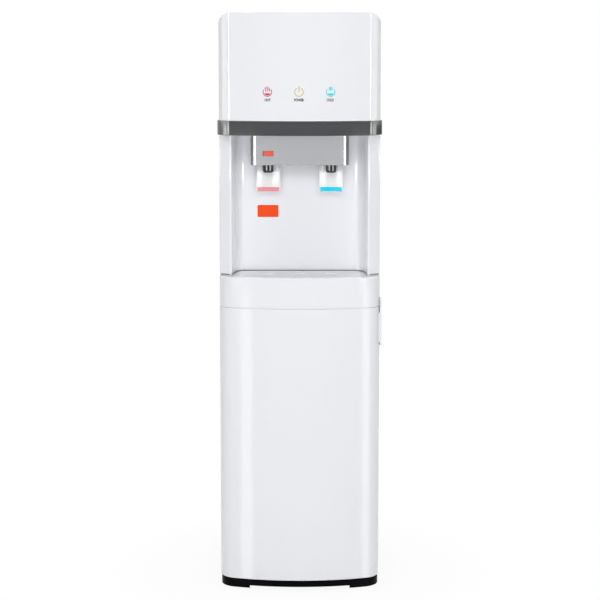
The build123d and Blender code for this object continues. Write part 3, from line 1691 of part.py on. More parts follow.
def make_switch_bezels():
    """Frames of the two rear switches, with the bores that carry the rockers."""
    inner_half = rocker_width / 2 + seam
    with BuildPart() as switch_bezels:
        for x in switch_places:
            with BuildSketch(Plane.XZ.offset(-rear_panel_y)):
                with Locations((x, switch_z)):
                    Rectangle(bezel_width, bezel_height)
            extrude(amount=-2)
            body = block(
                (x - bezel_body_width / 2, x + bezel_body_width / 2),
                (rear_panel_y - 16, rear_panel_y),
                (switch_z - bezel_body_height / 2, switch_z + bezel_body_height / 2),
            )
            add(body)
            cavity = block(
                (x - inner_half, x + inner_half),
                (rear_panel_y - 8, rear_panel_y + 3),
                (switch_z - rocker_half_height - 1, switch_z + rocker_half_height + 1),
            )
            add(cavity, mode=Mode.SUBTRACT)
            bore = cylinder_along(
                (1, 0, 0),
                (x - inner_half - 1.5, rocker_pivot_y, switch_z),
                trunnion_radius + running,
                2 * inner_half + 3,
            )
            add(bore, mode=Mode.SUBTRACT)
    save(switch_bezels, "switch_bezels")


def make_rocker(name, x):
    """Rocker of a rear switch, shown pressed at its upper end."""
    tilt = radians(switch_tilt)
    place = Plane(
        origin=(x - rocker_width / 2, rocker_pivot_y, switch_z),
        x_dir=(0, cos(tilt), sin(tilt)),
        z_dir=(1, 0, 0),
    )
    with BuildPart() as rocker:
        with BuildSketch(place):
            with BuildLine():
                Polyline(
                    (-1.5, -rocker_half_height + 1.5),
                    (3.6, -rocker_half_height),
                    (2.6, 0),
                    (3.6, rocker_half_height),
                    (-1.5, rocker_half_height - 1.5),
                    (-3.0, 0),
                    close=True,
                )
            make_face()
        extrude(amount=rocker_width)
        add(
            cylinder_along(
                (1, 0, 0),
                (x - rocker_width / 2 - 1.2, rocker_pivot_y, switch_z),
                trunnion_radius,
                rocker_width + 2.4,
            )
        )
    save(rocker, name)


gland_x = 124.0
gland_z = shelf_z + 80.0
gland_neck_radius = 7.0
gland_bore_radius = 4.0
gland_flange_radius = 11.0


def make_mains_gland():
    """Rubber gland for the mains lead in the rear panel, with its hole left empty."""
    with BuildPart() as mains_gland:
        with BuildSketch(Plane.XY):
            with BuildLine():
                Polyline(
                    (gland_bore_radius, -4),
                    (gland_flange_radius, -4),
                    (gland_flange_radius, -sheet),
                    (gland_neck_radius, -sheet),
                    (gland_neck_radius, 0),
                    (gland_flange_radius, 0),
                    (gland_flange_radius - 2, 9),
                    (gland_bore_radius, 9),
                    close=True,
                )
            make_face()
        revolve(axis=Axis.Y)
        placed = mains_gland.part.moved(Location((gland_x, rear_panel_y, gland_z)))
        add(placed, mode=Mode.REPLACE)
    save(mains_gland, "mains_gland")


# ---- Everything, in order of assembly --------------------------------------------------------------
make_base_plinth()
make_corner_feet()
make_side_panels()
make_rear_panel()
make_mid_shelf()
make_tank_shelf()
make_top_cover()
make_head_cover()
make_trim_band()
make_dispensing_panel()
make_tray_surround()
make_drip_tray()
make_drip_grille()
make_faucet_plate()
make_faucet_housing()
make_tap_body("hot_tap_body", -tap_x, True)
make_tap_body("cold_tap_body", tap_x, False)
make_tap_nozzles()
make_tap_nuts()
make_lever_pins()
make_return_springs()
make_lever("hot_lever", -tap_x)
make_lever("cold_lever", tap_x)
make_lever_strip("hot_lever_strip", -tap_x)
make_lever_strip("cold_lever_strip", tap_x)
make_child_lock_button()
make_door_outer()
make_door_liner()
make_door_handle()
make_door_magnet()
make_door_strike()
make_door_bushes()
make_door_hinges()
make_hot_tank()
make_heater_band()
make_cold_tank()
make_evaporator_coil()
make_tank_insulation()
make_tank_hoses()
make_water_pump()
make_supply_hose()
make_suction_probe()
make_suction_hose()
make_probe_holder()
make_drain_pipe()
make_drain_cap()
make_compressor()
make_compressor_grommets()
make_refrigerant_line()
make_condenser()
make_condenser_brackets()
make_filter_dryer()
make_wall_spacers()
make_indicator_board()
make_control_box()
make_switch_bezels()
make_rocker("heating_switch", switch_places[0])
make_rocker("cooling_switch", switch_places[1])
make_mains_gland()
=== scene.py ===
"""Looks of the bottom load water cooler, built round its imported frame.

X runs to the right, Y to the back and Z up. Sizes of pieces are in millimetres, as on the drawing, and become
metres when a mesh is made. Textures, lamps and light boxes are in metres.
"""

import json
import logging
import math
from dataclasses import dataclass
from enum import Enum
from typing import Iterable, Mapping, Sequence

import bmesh
import bpy
from mathutils import Matrix, Vector, geometry


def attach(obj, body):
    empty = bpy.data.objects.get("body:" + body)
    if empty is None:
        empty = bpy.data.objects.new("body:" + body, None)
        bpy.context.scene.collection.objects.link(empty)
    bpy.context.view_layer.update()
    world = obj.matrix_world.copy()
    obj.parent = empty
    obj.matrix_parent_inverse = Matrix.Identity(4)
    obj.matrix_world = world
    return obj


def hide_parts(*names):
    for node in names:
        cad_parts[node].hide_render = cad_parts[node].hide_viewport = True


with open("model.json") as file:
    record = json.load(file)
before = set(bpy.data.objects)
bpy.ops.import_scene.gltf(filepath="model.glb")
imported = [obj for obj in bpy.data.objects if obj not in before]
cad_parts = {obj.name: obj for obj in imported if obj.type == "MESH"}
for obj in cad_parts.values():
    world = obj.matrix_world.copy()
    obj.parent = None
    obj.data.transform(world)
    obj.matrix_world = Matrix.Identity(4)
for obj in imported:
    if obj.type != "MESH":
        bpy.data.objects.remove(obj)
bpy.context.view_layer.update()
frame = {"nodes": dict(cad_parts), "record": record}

logging.basicConfig(level=logging.INFO, format="%(message)s")
log = logging.getLogger("cooler")

MM = 0.001
NIL = 1e-6  # a shorter length counts as nothing
BEND = 0.3  # how far the middle of a small rounding stands in, as a share of its radius
MITRE = 0.3  # keeps the tip of a sharp corner from running out when its line is moved

Colour = tuple[float, float, float]
Point2 = tuple[float, float]
Point3 = tuple[float, float, float]
Row = list[Point3]
Vert = bmesh.types.BMVert
Verts = Sequence[Vert]
Look = dict[str, object]
Mesh, Object, Material = bpy.types.Mesh, bpy.types.Object, bpy.types.Material
Node, Socket = bpy.types.Node, bpy.types.NodeSocket


# ---- Objects ----
def placed(name: str, data: bpy.types.ID) -> Object:
    """A new object in the scene, for a mesh, a text, a lamp or a camera.

    Args:
        name: Its name.
        data: What it holds.

    Returns:
        The object.
    """
    obj = bpy.data.objects.new(name, data)
    bpy.context.scene.collection.objects.link(obj)
    return obj


def settled(obj: Object) -> Mesh:
    """Turn an object with its modifiers into a plain mesh, and remove the object.

    Args:
        obj: The object, in the scene.

    Returns:
        The mesh.
    """
    bpy.context.view_layer.update()
    graph = bpy.context.evaluated_depsgraph_get()
    mesh = bpy.data.meshes.new_from_object(obj.evaluated_get(graph))
    bpy.data.objects.remove(obj)
    return mesh


# ---- Nodes ----
class Tree:
    """A node tree while it is built."""

    def __init__(self, tree: bpy.types.NodeTree) -> None:
        """Keep the tree that nodes are added to."""
        self.tree = tree

    def feed(self, socket: Socket, value: object) -> None:
        """Link or set one input.

        Args:
            socket: The input.
            value: A varying value, an output socket, a colour, a number or whatever else the input holds.
        """
        source = value.socket if isinstance(value, Val) else value
        if isinstance(source, Socket):
            self.tree.links.new(source, socket)
        else:
            socket.default_value = (*value, 1.0) if socket.type == "RGBA" else value

    def node(
        self,
        kind: str,
        settings: Mapping[str, object] | None = None,
        sockets: Mapping[str | int, object] | None = None,
    ) -> Node:
        """Add a node of any type.

        Args:
            kind: The node's type.
            settings: Its settings, which are set first.
            sockets: The value or the link of each input.

        Returns:
            The node.
        """
        made = self.tree.nodes.new(kind)
        for key, value in (settings or {}).items():
            setattr(made, key, value)
        for key, value in (sockets or {}).items():
            self.feed(made.inputs[key], value)
        return made


@dataclass(frozen=True)
class Val:
    """A number that varies over a surface. Python's operators on it add Math nodes."""

    tree: Tree
    socket: Socket

    def math(self, operation: str, first: object, second: object = 0.0, clamp: bool = False) -> "Val":
        """The result of one Math node on two operands, held between 0 and 1 where it is clamped."""
        settings = {"operation": operation, "use_clamp": clamp}
        return Val(self.tree, self.tree.node("ShaderNodeMath", settings, {0: first, 1: second}).outputs[0])

    def __add__(self, other: "Val | float") -> "Val":
        """Sum."""
        return self.math("ADD", self, other)

    def __sub__(self, other: "Val | float") -> "Val":
        """Difference."""
        return self.math("SUBTRACT", self, other)

    def __rsub__(self, other: float) -> "Val":
        """Difference, from a plain number."""
        return self.math("SUBTRACT", other, self)

    def __mul__(self, other: "Val | float") -> "Val":
        """Product."""
        return self.math("MULTIPLY", self, other)

    def __truediv__(self, other: "Val | float") -> "Val":
        """Quotient."""
        return self.math("DIVIDE", self, other)

    def __rtruediv__(self, other: float) -> "Val":
        """Quotient, from a plain number."""
        return self.math("DIVIDE", other, self)

    def __pow__(self, other: float) -> "Val":
        """Power."""
        return self.math("POWER", self, other)

    def __rpow__(self, other: float) -> "Val":
        """Power of a plain number."""
        return self.math("POWER", other, self)

    def wave(self) -> "Val":
        """Sine."""
        return self.math("SINE", self)

    def above(self, edge: float) -> "Val":
        """1 where the value is over an edge, and 0 elsewhere."""
        return self.math("GREATER_THAN", self, edge)

    def clamped(self) -> "Val":
        """The value held between 0 and 1."""
        return self.math("ADD", self, clamp=True)

    __radd__ = __add__
    __rmul__ = __mul__


def shade(colour: Colour, factor: float) -> Colour:
    """A colour made lighter or darker by a factor."""
    return tuple(min(1.0, c * factor) for c in colour)


class Recipe(Tree):
    """A material while it is mixed: one Principled shader and what feeds it."""

    def __init__(self, name: str) -> None:
        """Start a material.

        Args:
            name: The material's name.
        """
        self.material = bpy.data.materials.new(name)
        self.material.use_nodes = True
        super().__init__(self.material.node_tree)
        self.shader = self.tree.nodes["Principled BSDF"]
        self.place = self.node("ShaderNodeTexCoord").outputs["Object"]

    def noise(
        self, size: float, detail: float = 2.0, stretch: Point3 | None = None, rough: float = 0.5
    ) -> Val:
        """Cloudy variation, about 0.5 in the mean.

        Args:
            size: The width of its patches, in metres.
            detail: How many finer layers it has.
            stretch: How much it is squeezed along each axis.
            rough: The strength of the finer layers.

        Returns:
            The variation.
        """
        where = self.place
        if stretch:
            where = self.node("ShaderNodeMapping", None, {"Vector": where, "Scale": stretch}).outputs[0]
        sockets = {"Vector": where, "Scale": 1.0 / size, "Detail": detail, "Roughness": rough}
        return Val(self, self.node("ShaderNodeTexNoise", None, sockets).outputs["Fac"])

    def cells(self, size: float) -> Node:
        """Cells of a given width in metres, such as beads or spangle."""
        return self.node("ShaderNodeTexVoronoi", None, {"Vector": self.place, "Scale": 1.0 / size})

    def share(self, vector: Socket, index: int = 0) -> Val:
        """One number out of a vector or a colour."""
        return Val(self, self.node("ShaderNodeSeparateXYZ", None, {0: vector}).outputs[index])

    def blend(self, low: Colour, high: Colour, mask: Val) -> Socket:
        """Mix two colours by a mask."""
        return self.node("ShaderNodeMix", {"data_type": "RGBA"}, {0: mask, 6: low, 7: high}).outputs[2]

    def tint(self, colour: Colour, low: float, high: float, mask: Val) -> Socket:
        """Shade a colour between two factors by a mask."""
        return self.blend(shade(colour, low), shade(colour, high), mask)

    def bump(self, height: Val, depth: float) -> Socket:
        """Turn a height between 0 and 1 into a normal, for relief of a given depth in metres."""
        sockets = {"Strength": 1.0, "Distance": depth, "Height": height}
        return self.node("ShaderNodeBump", None, sockets).outputs[0]

    def finish(self, **sockets: object) -> Material:
        """Set the shader's sockets and hand over the material.

        Args:
            sockets: The value or link of each, by its name with underscores for spaces.

        Returns:
            The material.
        """
        for key, value in sockets.items():
            self.feed(self.shader.inputs[key.replace("_", " ").title().replace("Ior", "IOR")], value)
        return self.material

    def ends_in(self, shader: Node) -> None:
        """Let the material show another shader."""
        self.feed(self.tree.nodes["Material Output"].inputs[0], shader.outputs[0])

    def glow(self, strength: float) -> Node:
        """A white emission."""
        return self.node("ShaderNodeEmission", None, {"Color": (1.0, 1.0, 1.0), "Strength": strength})


# ---- Finishes ----
@dataclass(frozen=True)
class Finish:
    """A colour and a roughness, with which every finish starts."""

    colour: Colour
    roughness: float = 0.3

    def look(self, r: Recipe) -> Look:
        """What the shader's sockets get, as values or links."""
        return {"base_color": self.colour, "roughness": self.roughness}

    def mix(self, name: str) -> Material:
        """Mix the material under a name."""
        r = Recipe(name)
        return r.finish(**self.look(r))


@dataclass(frozen=True)
class Moulded(Finish):
    """Injection-moulded plastic, from glossy covers to spark-textured trim."""

    grain: float = 0.0  # depth of the mould texture
    grain_size: float = 0.0006
    clear: float = 0.0
    gloss: float = 0.5
    cloud: float = 0.012
    cloud_size: float = 0.11
    rub_size: float = 0.019
    ripple: float = 0.000008
    ripple_size: float = 0.022
    ior: float = 1.49

    def look(self, r: Recipe) -> Look:
        """A faint cloud, rubbed patches and the mould's texture, or a slight ripple where it is polished."""
        skin = r.noise(self.grain_size) if self.grain else r.noise(self.ripple_size, 1.0)
        return {
            "base_color": r.tint(self.colour, 1 - self.cloud, 1 + self.cloud, r.noise(self.cloud_size)),
            "roughness": self.roughness * (0.9 + 0.2 * r.noise(self.rub_size, 3.0)),
            "normal": r.bump(skin, self.grain or self.ripple),
            "transmission_weight": self.clear,
            "specular_ior_level": self.gloss,
            "ior": self.ior,
        }


@dataclass(frozen=True)
class PowderCoated(Finish):
    """Steel under baked powder, with its fine orange peel."""

    roughness: float = 0.36
    peel: float = 0.00003
    peel_size: float = 0.0019
    drift_size: float = 0.24
    rub_size: float = 0.03

    def look(self, r: Recipe) -> Look:
        """Orange peel and a slow drift of the coat."""
        return {
            "base_color": r.tint(self.colour, 0.985, 1.01, r.noise(self.drift_size)),
            "roughness": self.roughness - 0.03 + 0.06 * r.noise(self.rub_size),
            "normal": r.bump(r.noise(self.peel_size), self.peel),
        }


@dataclass(frozen=True)
class Brushed(Finish):
    """Bare steel with the hair lines of a belt or of a drawing die."""

    along: int = 0
    line: float = 0.00028
    depth: float = 0.000006
    contrast: float = 0.06
    squeeze: float = 0.012
    streak: float = 14.0  # a streak's width, in hair lines

    def look(self, r: Recipe) -> Look:
        """Hair lines and broader streaks along one axis.

        Args:
            r: The material's recipe.

        Returns:
            What the shader's sockets get.
        """
        stretch = tuple(self.squeeze if axis == self.along else 1.0 for axis in range(3))
        hair = r.noise(self.line, 3.0, stretch, 0.6)
        mark = hair * 0.6 + r.noise(self.line * self.streak, 2.0, stretch) * 0.4
        return {
            "base_color": r.tint(self.colour, 1 - self.contrast, 1 + self.contrast, mark),
            "metallic": 1.0,
            "roughness": self.roughness - 0.07 + 0.14 * hair,
            "normal": r.bump(hair, self.depth),
        }


@dataclass(frozen=True)
class Crystals(Finish):
    """Flat crystals or flakes with a stain over them, as on galvanised sheet or a mica wrap."""

    size: float = 0.007
    relief: float = 0.000012
    stain_size: float = 0.05
    weight: float = 0.6  # the crystals' part of the colour, the rest is the stain's
    shades: Point2 = (0.84, 1.12)
    spread: float = 0.16
    metallic: float = 0.85

    def look(self, r: Recipe) -> Look:
        """Crystals, each with its own grey, and the stain.

        Args:
            r: The material's recipe.

        Returns:
            What the shader's sockets get.
        """
        grey = r.share(r.cells(self.size).outputs["Color"])
        mark = grey * self.weight + r.noise(self.stain_size, 3.0) * (1 - self.weight)
        return {
            "base_color": r.tint(self.colour, *self.shades, mark),
            "metallic": self.metallic,
            "roughness": self.roughness + self.spread * grey,
            "normal": r.bump(grey, self.relief),
        }


@dataclass(frozen=True)
class Rubber(Finish):
    """Moulded rubber with a bloom of dust."""

    roughness: float = 0.72
    grain: float = 0.00004
    grain_size: float = 0.0007
    dust_size: float = 0.014

    def look(self, r: Recipe) -> Look:
        """Dust on a fine grain."""
        dust = r.noise(self.dust_size, 4.0)
        return {
            "base_color": r.tint(self.colour, 1.0, 1.45, dust),
            "roughness": self.roughness + 0.15 * dust,
            "normal": r.bump(r.noise(self.grain_size), self.grain),
        }


@dataclass(frozen=True)
class BeadFoam(Finish):
    """Expanded foam moulded from beads."""

    roughness: float = 0.85
    bead: float = 0.0042
    relief: float = 0.0006

    def look(self, r: Recipe) -> Look:
        """Domed beads, with painted shade in the creases between them."""
        dome = 1.0 - Val(r, r.cells(self.bead).outputs["Distance"])
        return {
            # The colour darkens towards each bead's edge: painted shade in the creases between the beads.
            "base_color": r.tint(self.colour, 0.88, 1.0, dome.clamped()),
            "roughness": self.roughness,
            "normal": r.bump(dome, self.relief),
        }


@dataclass(frozen=True)
class Tarnished(Finish):
    """Drawn copper, bright where it was handled and brown elsewhere."""

    roughness: float = 0.22
    tarnish: Colour = (0.33, 0.15, 0.09)
    patch_size: float = 0.018
    sparse: float = 1.6  # over 1 leaves more of the metal bright

    def look(self, r: Recipe) -> Look:
        """Brown patches, duller than the bright metal."""
        patch = r.noise(self.patch_size, 4.0) ** self.sparse
        return {
            "base_color": r.blend(self.colour, self.tarnish, patch),
            "metallic": 1.0,
            "roughness": self.roughness + 0.3 * patch,
        }


@dataclass(frozen=True)
class CircuitBoard(Finish):
    """Solder-masked board with a hint of its tracks."""

    roughness: float = 0.34
    track: float = 0.00003
    track_rate: float = 620.0
    track_edge: float = 0.82

    def look(self, r: Recipe) -> Look:
        """Narrow raised tracks across the board."""
        tracks = (r.share(r.place) * self.track_rate).wave().above(self.track_edge)
        return {
            "base_color": r.tint(self.colour, 1.0, 1.9, tracks),
            "roughness": self.roughness,
            "normal": r.bump(tracks, self.track),
        }


@dataclass(frozen=True)
class Ink(Finish):
    """Screen-printed ink, a little uneven where it lies thin."""

    roughness: float = 0.45
    gloss: float = 0.15
    patch_size: float = 0.0016

    def look(self, r: Recipe) -> Look:
        """Thin and thick places, with little gloss."""
        thin = r.noise(self.patch_size)
        return {
            "base_color": r.tint(self.colour, 0.94, 1.05, thin),
            "roughness": self.roughness + 0.08 * thin,
            "specular_ior_level": self.gloss,
        }


FINISHES: dict[str, Finish] = {
    "white_cover": Moulded((0.865, 0.873, 0.905), 0.08),
    "white_steel": PowderCoated((0.86, 0.865, 0.89)),
    "trim_grey": Moulded((0.046, 0.047, 0.049), 0.09),
    "steel_plate": Brushed((0.46, 0.47, 0.485), 0.24, line=0.0006, contrast=0.12),
    "housing_grey": Moulded((0.22, 0.22, 0.23), 0.5, grain=0.00004),
    "nozzle_black": Moulded((0.002, 0.002, 0.002), 0.1, gloss=0.7),
    "lever_frost": Moulded((0.97, 0.975, 0.985), 0.14, clear=0.12),
    "strip_hot": Moulded((0.98, 0.34, 0.39), 0.4, clear=0.1, gloss=0.25),
    "strip_cold": Moulded((0.0, 0.72, 0.96), 0.4, clear=0.05, gloss=0.25),
    "button_orange": Moulded((1.0, 0.14, 0.075), 0.3, gloss=0.2),
    "tray_white": Moulded((0.86, 0.87, 0.895), 0.1, grain=0.000005),
    "plinth_black": Moulded((0.002, 0.002, 0.002), 0.34, grain=0.00002, gloss=0.03),
    "rubber_black": Rubber((0.02, 0.02, 0.02)),
    "liner_white": Moulded((0.78, 0.79, 0.81), 0.38, grain=0.00003, grain_size=0.0012),
    "zinc_sheet": Crystals((0.56, 0.57, 0.58), 0.34),
    "stainless": Brushed((0.58, 0.58, 0.585), 0.32, along=2, line=0.0006),
    "mica_brown": Crystals((0.40, 0.29, 0.17), 0.5, 0.0035, 0.00004, 0.03, 0.5, (0.6, 1.3), 0.2, 0.0),
    "copper": Tarnished((0.78, 0.38, 0.22)),
    "enamel_black": PowderCoated((0.016, 0.016, 0.017), 0.3, 0.00005),
    "foam_white": BeadFoam((0.84, 0.85, 0.86)),
    "silicone": Moulded((0.78, 0.78, 0.76), 0.4, clear=0.2),
    "spring_steel": Brushed((0.42, 0.42, 0.43), 0.28, line=0.0003),
    "board_green": CircuitBoard((0.02, 0.14, 0.06)),
    "probe_blue": Moulded((0.70, 0.76, 0.82), 0.3, clear=0.1),
    "switch_black": Moulded((0.016, 0.016, 0.016), 0.3),
    "rocker_red": Moulded((0.58, 0.02, 0.02), 0.2, clear=0.1),
    "rocker_green": Moulded((0.02, 0.34, 0.08), 0.2, clear=0.1),
    "acetal_white": Moulded((0.80, 0.80, 0.78), 0.36),
    "magnet_grey": Rubber((0.07, 0.07, 0.072), 0.6),
}

INKS: dict[str, Ink] = {
    "ink_red": Ink((0.66, 0.02, 0.05)),
    "ink_yellow": Ink((0.62, 0.50, 0.08)),
    "ink_cyan": Ink((0.0, 0.66, 0.72)),
    "ink_grey": Ink((0.02, 0.02, 0.022)),
    "plate_orange": Ink((0.98, 0.075, 0.003), 0.35),
}


class Paints:
    """All materials of the cooler, mixed once."""

    def __init__(self) -> None:
        """Mix the record's finishes and the inks."""
        self.by_slot = {slot: finish.mix(slot) for slot, finish in FINISHES.items()}
        self.inks = {name: ink.mix(name) for name, ink in INKS.items()}

    def dress_nodes(self, record: Mapping[str, object], nodes: Mapping[str, Object]) -> None:
        """Give every node of the frame the finish that the record names.

        Args:
            record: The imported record.
            nodes: The frame's objects by name.
        """
        for row in record["subparts"]:
            mesh = nodes[row["node"]].data
            mesh.materials.clear()
            mesh.materials.append(self.by_slot[row["material_slot"]])


# ---- Lines and rows ----
def arc(centre: Point2, radius: float, start: float, end: float, steps: int) -> list[Point2]:
    """Points along an arc, both ends included, with angles in radians."""
    turns = [start + (end - start) * i / steps for i in range(steps + 1)]
    return [(centre[0] + radius * math.cos(t), centre[1] + radius * math.sin(t)) for t in turns]


def quarter(radius: float, steps: int) -> list[Point2]:
    """A rounded edge from a first face to a second: each point's distances from the second and the first."""
    return [(radius + x, radius - y) for x, y in arc((0.0, 0.0), radius, math.pi, math.pi / 2, steps)]


def softened(z: float, soft: float) -> list[Point2]:
    """Levels of a slightly rounded edge at a height, for a wall that goes up, or down if soft is negative."""
    return [(abs(soft), z), (abs(soft) * BEND, z + soft * BEND), (0.0, z + soft)]


def rounded(corners: Sequence[Point3], steps: int = 8) -> list[Point2]:
    """An open line through corners, each rounded by its own radius.

    Args:
        corners: Each corner's place and its radius, which is 0 for a plain point.
        steps: How many pieces each rounding has.

    Returns:
        The line's points.
    """
    line: list[Point2] = []
    for i, (x, y, radius) in enumerate(corners):
        if radius <= 0 or i in (0, len(corners) - 1):
            line.append((x, y))
            continue
        here = Vector((x, y))
        back = (Vector(corners[i - 1][:2]) - here).normalized()
        ahead = (Vector(corners[i + 1][:2]) - here).normalized()
        half = back.angle(ahead) / 2
        centre = here + (back + ahead).normalized() * (radius / math.sin(half))
        first = here + back * radius / math.tan(half) - centre
        turn = math.copysign(math.pi - 2 * half, -back.cross(ahead))
        for step in range(steps + 1):
            spoke = first.copy()
            spoke.rotate(Matrix.Rotation(turn * step / steps, 2))
            line.append(tuple(centre + spoke))
    return line


def moved(line: Sequence[Point2], distance: float) -> list[Point2]:
    """A line moved sideways, with its corners kept.

    Args:
        line: The line.
        distance: How far it goes to its right, which is outwards on a plan drawn from left to right.

    Returns:
        The new line.
    """
    result: list[Point2] = []
    for i, point in enumerate(line):
        near = [line[max(i - 1, 0)], point, line[min(i + 1, len(line) - 1)]]
        ways = [Vector(b) - Vector(a) for a, b in zip(near, near[1:])]
        sides = [Vector((way.y, -way.x)).normalized() for way in ways if way.length > NIL]
        mean = sum(sides, Vector((0, 0))).normalized()
        result.append(tuple(Vector(point) + mean * distance / max(MITRE, mean.dot(sides[0]))))
    return result


def mirrored(right_half: Sequence[Point2]) -> list[Point2]:
    """A whole line from left to right, from its right half, which starts on the middle."""
    return [(-x, y) for x, y in reversed(right_half[1:])] + list(right_half)


def inset_loop(outline: Sequence[Point2], inset: float) -> list[Point2]:
    """A closed outline drawn anticlockwise, moved in by a distance."""
    return moved([outline[-1], *outline, outline[0]], -inset)[1:-1]


def loops(outline: Sequence[Point2], levels: Sequence[Point2]) -> list[Row]:
    """Closed rows on an outline, from how far each stands in and its height."""
    return [[(x, y, z) for x, y in inset_loop(outline, inset)] for inset, z in levels]


def skirt(line: Sequence[Point2], levels: Sequence[Point2], rear: float | None = None) -> list[Row]:
    """Open rows of points along a plan line.

    Args:
        line: The line, drawn from left to right.
        levels: How far each row stands in from the line, and its height.
        rear: Where both ends of each row stay, if anywhere.

    Returns:
        The rows.
    """
    rows = [[(x, y, z) for x, y in moved(line, -inset)] for inset, z in levels]
    for row in rows if rear is not None else []:
        for end in (0, -1):
            row[end] = (row[end][0], rear, row[end][2])
    return rows


@dataclass(frozen=True)
class Plan:
    """Sizes that the covers share, and the plan lines made from them."""

    height: float = 1100.0
    half: float = 153.0
    front: float = -177.0
    bow: float = 430.0
    bow_steps: int = 24
    covers_rear: float = -108.8
    cabinet_front: float = -108.5
    wall: float = 2.5
    sheet: float = 1.6
    ridge_x: float = 133.0
    ridge_radius: float = 6.5
    ridge_lead: float = 4.5
    facet_y: float = -118.0
    facet_lead: float = 1.5
    facet_swell: float = 1.3
    facet_steps: int = 14
    facet_start: int = 4
    facet_corner: float = 14.0
    front_corner: float = 38.0
    column_facet_y: float = -113.0
    column_setback: float = 30.0
    column_radius: float = 2.0
    column_corner: float = 6.0
    mouth_x: float = 129.5
    mouth_lead: float = 1.1
    mouth_radius: float = 2.4
    alcove_back: float = -60.0
    alcove_half: float = 120.6
    alcove_corner: float = 21.0
    tray_half: float = 124.0
    tray_inset: float = 7.0
    tray_bow_half: float = 108.0
    tray_back: float = -67.0
    tray_back_half: float = 116.0
    tray_corner: float = 13.0
    fascia_bottom: float = 548.7
    deck: float = 605.2
    panel_bottom: float = 607.6
    band_bottom: float = 872.5
    band_top: float = 900.0

    def bow_y(self, x: float, inset: float = 0.0) -> float:
        """Depth of the bowed front at a place across it, or of a bow that stands in from it."""
        return self.front + self.bow - math.sqrt((self.bow - inset) ** 2 - x**2)

    def bow_points(self, end: float, steps: int, inset: float = 0.0) -> list[Point3]:
        """Plain corners along a bow from the middle to one side."""
        return [(end * i / steps, self.bow_y(end * i / steps, inset), 0.0) for i in range(steps + 1)]

    def ridged(self) -> list[Point2]:
        """Plan line of the head, with a sharp ridge each side and swelling facets.

        Returns:
            The line.
        """
        corners = self.bow_points(self.ridge_x - self.ridge_lead, steps=26)
        ridge, rear = Vector((self.ridge_x, self.bow_y(self.ridge_x))), Vector((self.half, self.facet_y))
        out = Vector((rear.y - ridge.y, ridge.x - rear.x)).normalized()
        corners.append((*ridge, self.ridge_radius))
        for t in [i / self.facet_steps for i in range(self.facet_start, self.facet_steps - 1)]:
            corners.append((*(ridge.lerp(rear, t) + out * self.facet_swell * 4 * t * (1 - t)), 0.0))
        corners.append((self.half, self.facet_y + self.facet_lead, self.facet_corner))
        corners.append((self.half, self.covers_rear, 0.0))
        return mirrored(rounded(corners))

    def bowed(self, rear: float) -> list[Point2]:
        """Plan line of the door and fascia, with rounded front corners.

        Args:
            rear: Where it ends at the back.

        Returns:
            The line.
        """
        centre = (self.half - self.front_corner, self.bow_y(self.half - self.front_corner, self.front_corner))
        lean = math.atan2(centre[1] - self.front - self.bow, centre[0])
        touch = centre[0] + self.front_corner * math.cos(lean)
        line = [(x, y) for x, y, _ in self.bow_points(touch, self.bow_steps)[:-1]]
        line += arc(centre, self.front_corner, lean, 0.0, steps=18)
        return mirrored(line + [(self.half, rear)])

    def columns(self) -> list[Point2]:
        """Plan line of the dispensing panel: columns, curved side walls and the alcove's back wall.

        Returns:
            The line.
        """
        ridge_y = self.bow_y(self.ridge_x) + self.column_setback
        corners = [
            (0.0, self.alcove_back, 0.0),
            (self.alcove_half, self.alcove_back, self.alcove_corner),
            (self.mouth_x, ridge_y - self.mouth_lead, self.mouth_radius),
            (self.ridge_x, ridge_y, self.column_radius),
            (self.half, self.column_facet_y, self.column_corner),
            (self.half, self.covers_rear, 0.0),
        ]
        return mirrored(rounded(corners, steps=12))

    def tray(self) -> list[Point2]:
        """Closed plan outline of the drip tray, from the middle of its front and round.

        Returns:
            The outline.
        """
        corners = self.bow_points(self.tray_bow_half, steps=20, inset=self.tray_inset)
        corners.append((self.tray_half, self.bow_y(self.tray_half, self.tray_inset), self.tray_corner))
        corners += [(self.tray_back_half, self.tray_back, self.tray_corner), (0.0, self.tray_back, 0.0)]
        half = rounded(corners)
        return half + [(-x, y) for x, y in reversed(half[1:-1])]


PLAN = Plan()


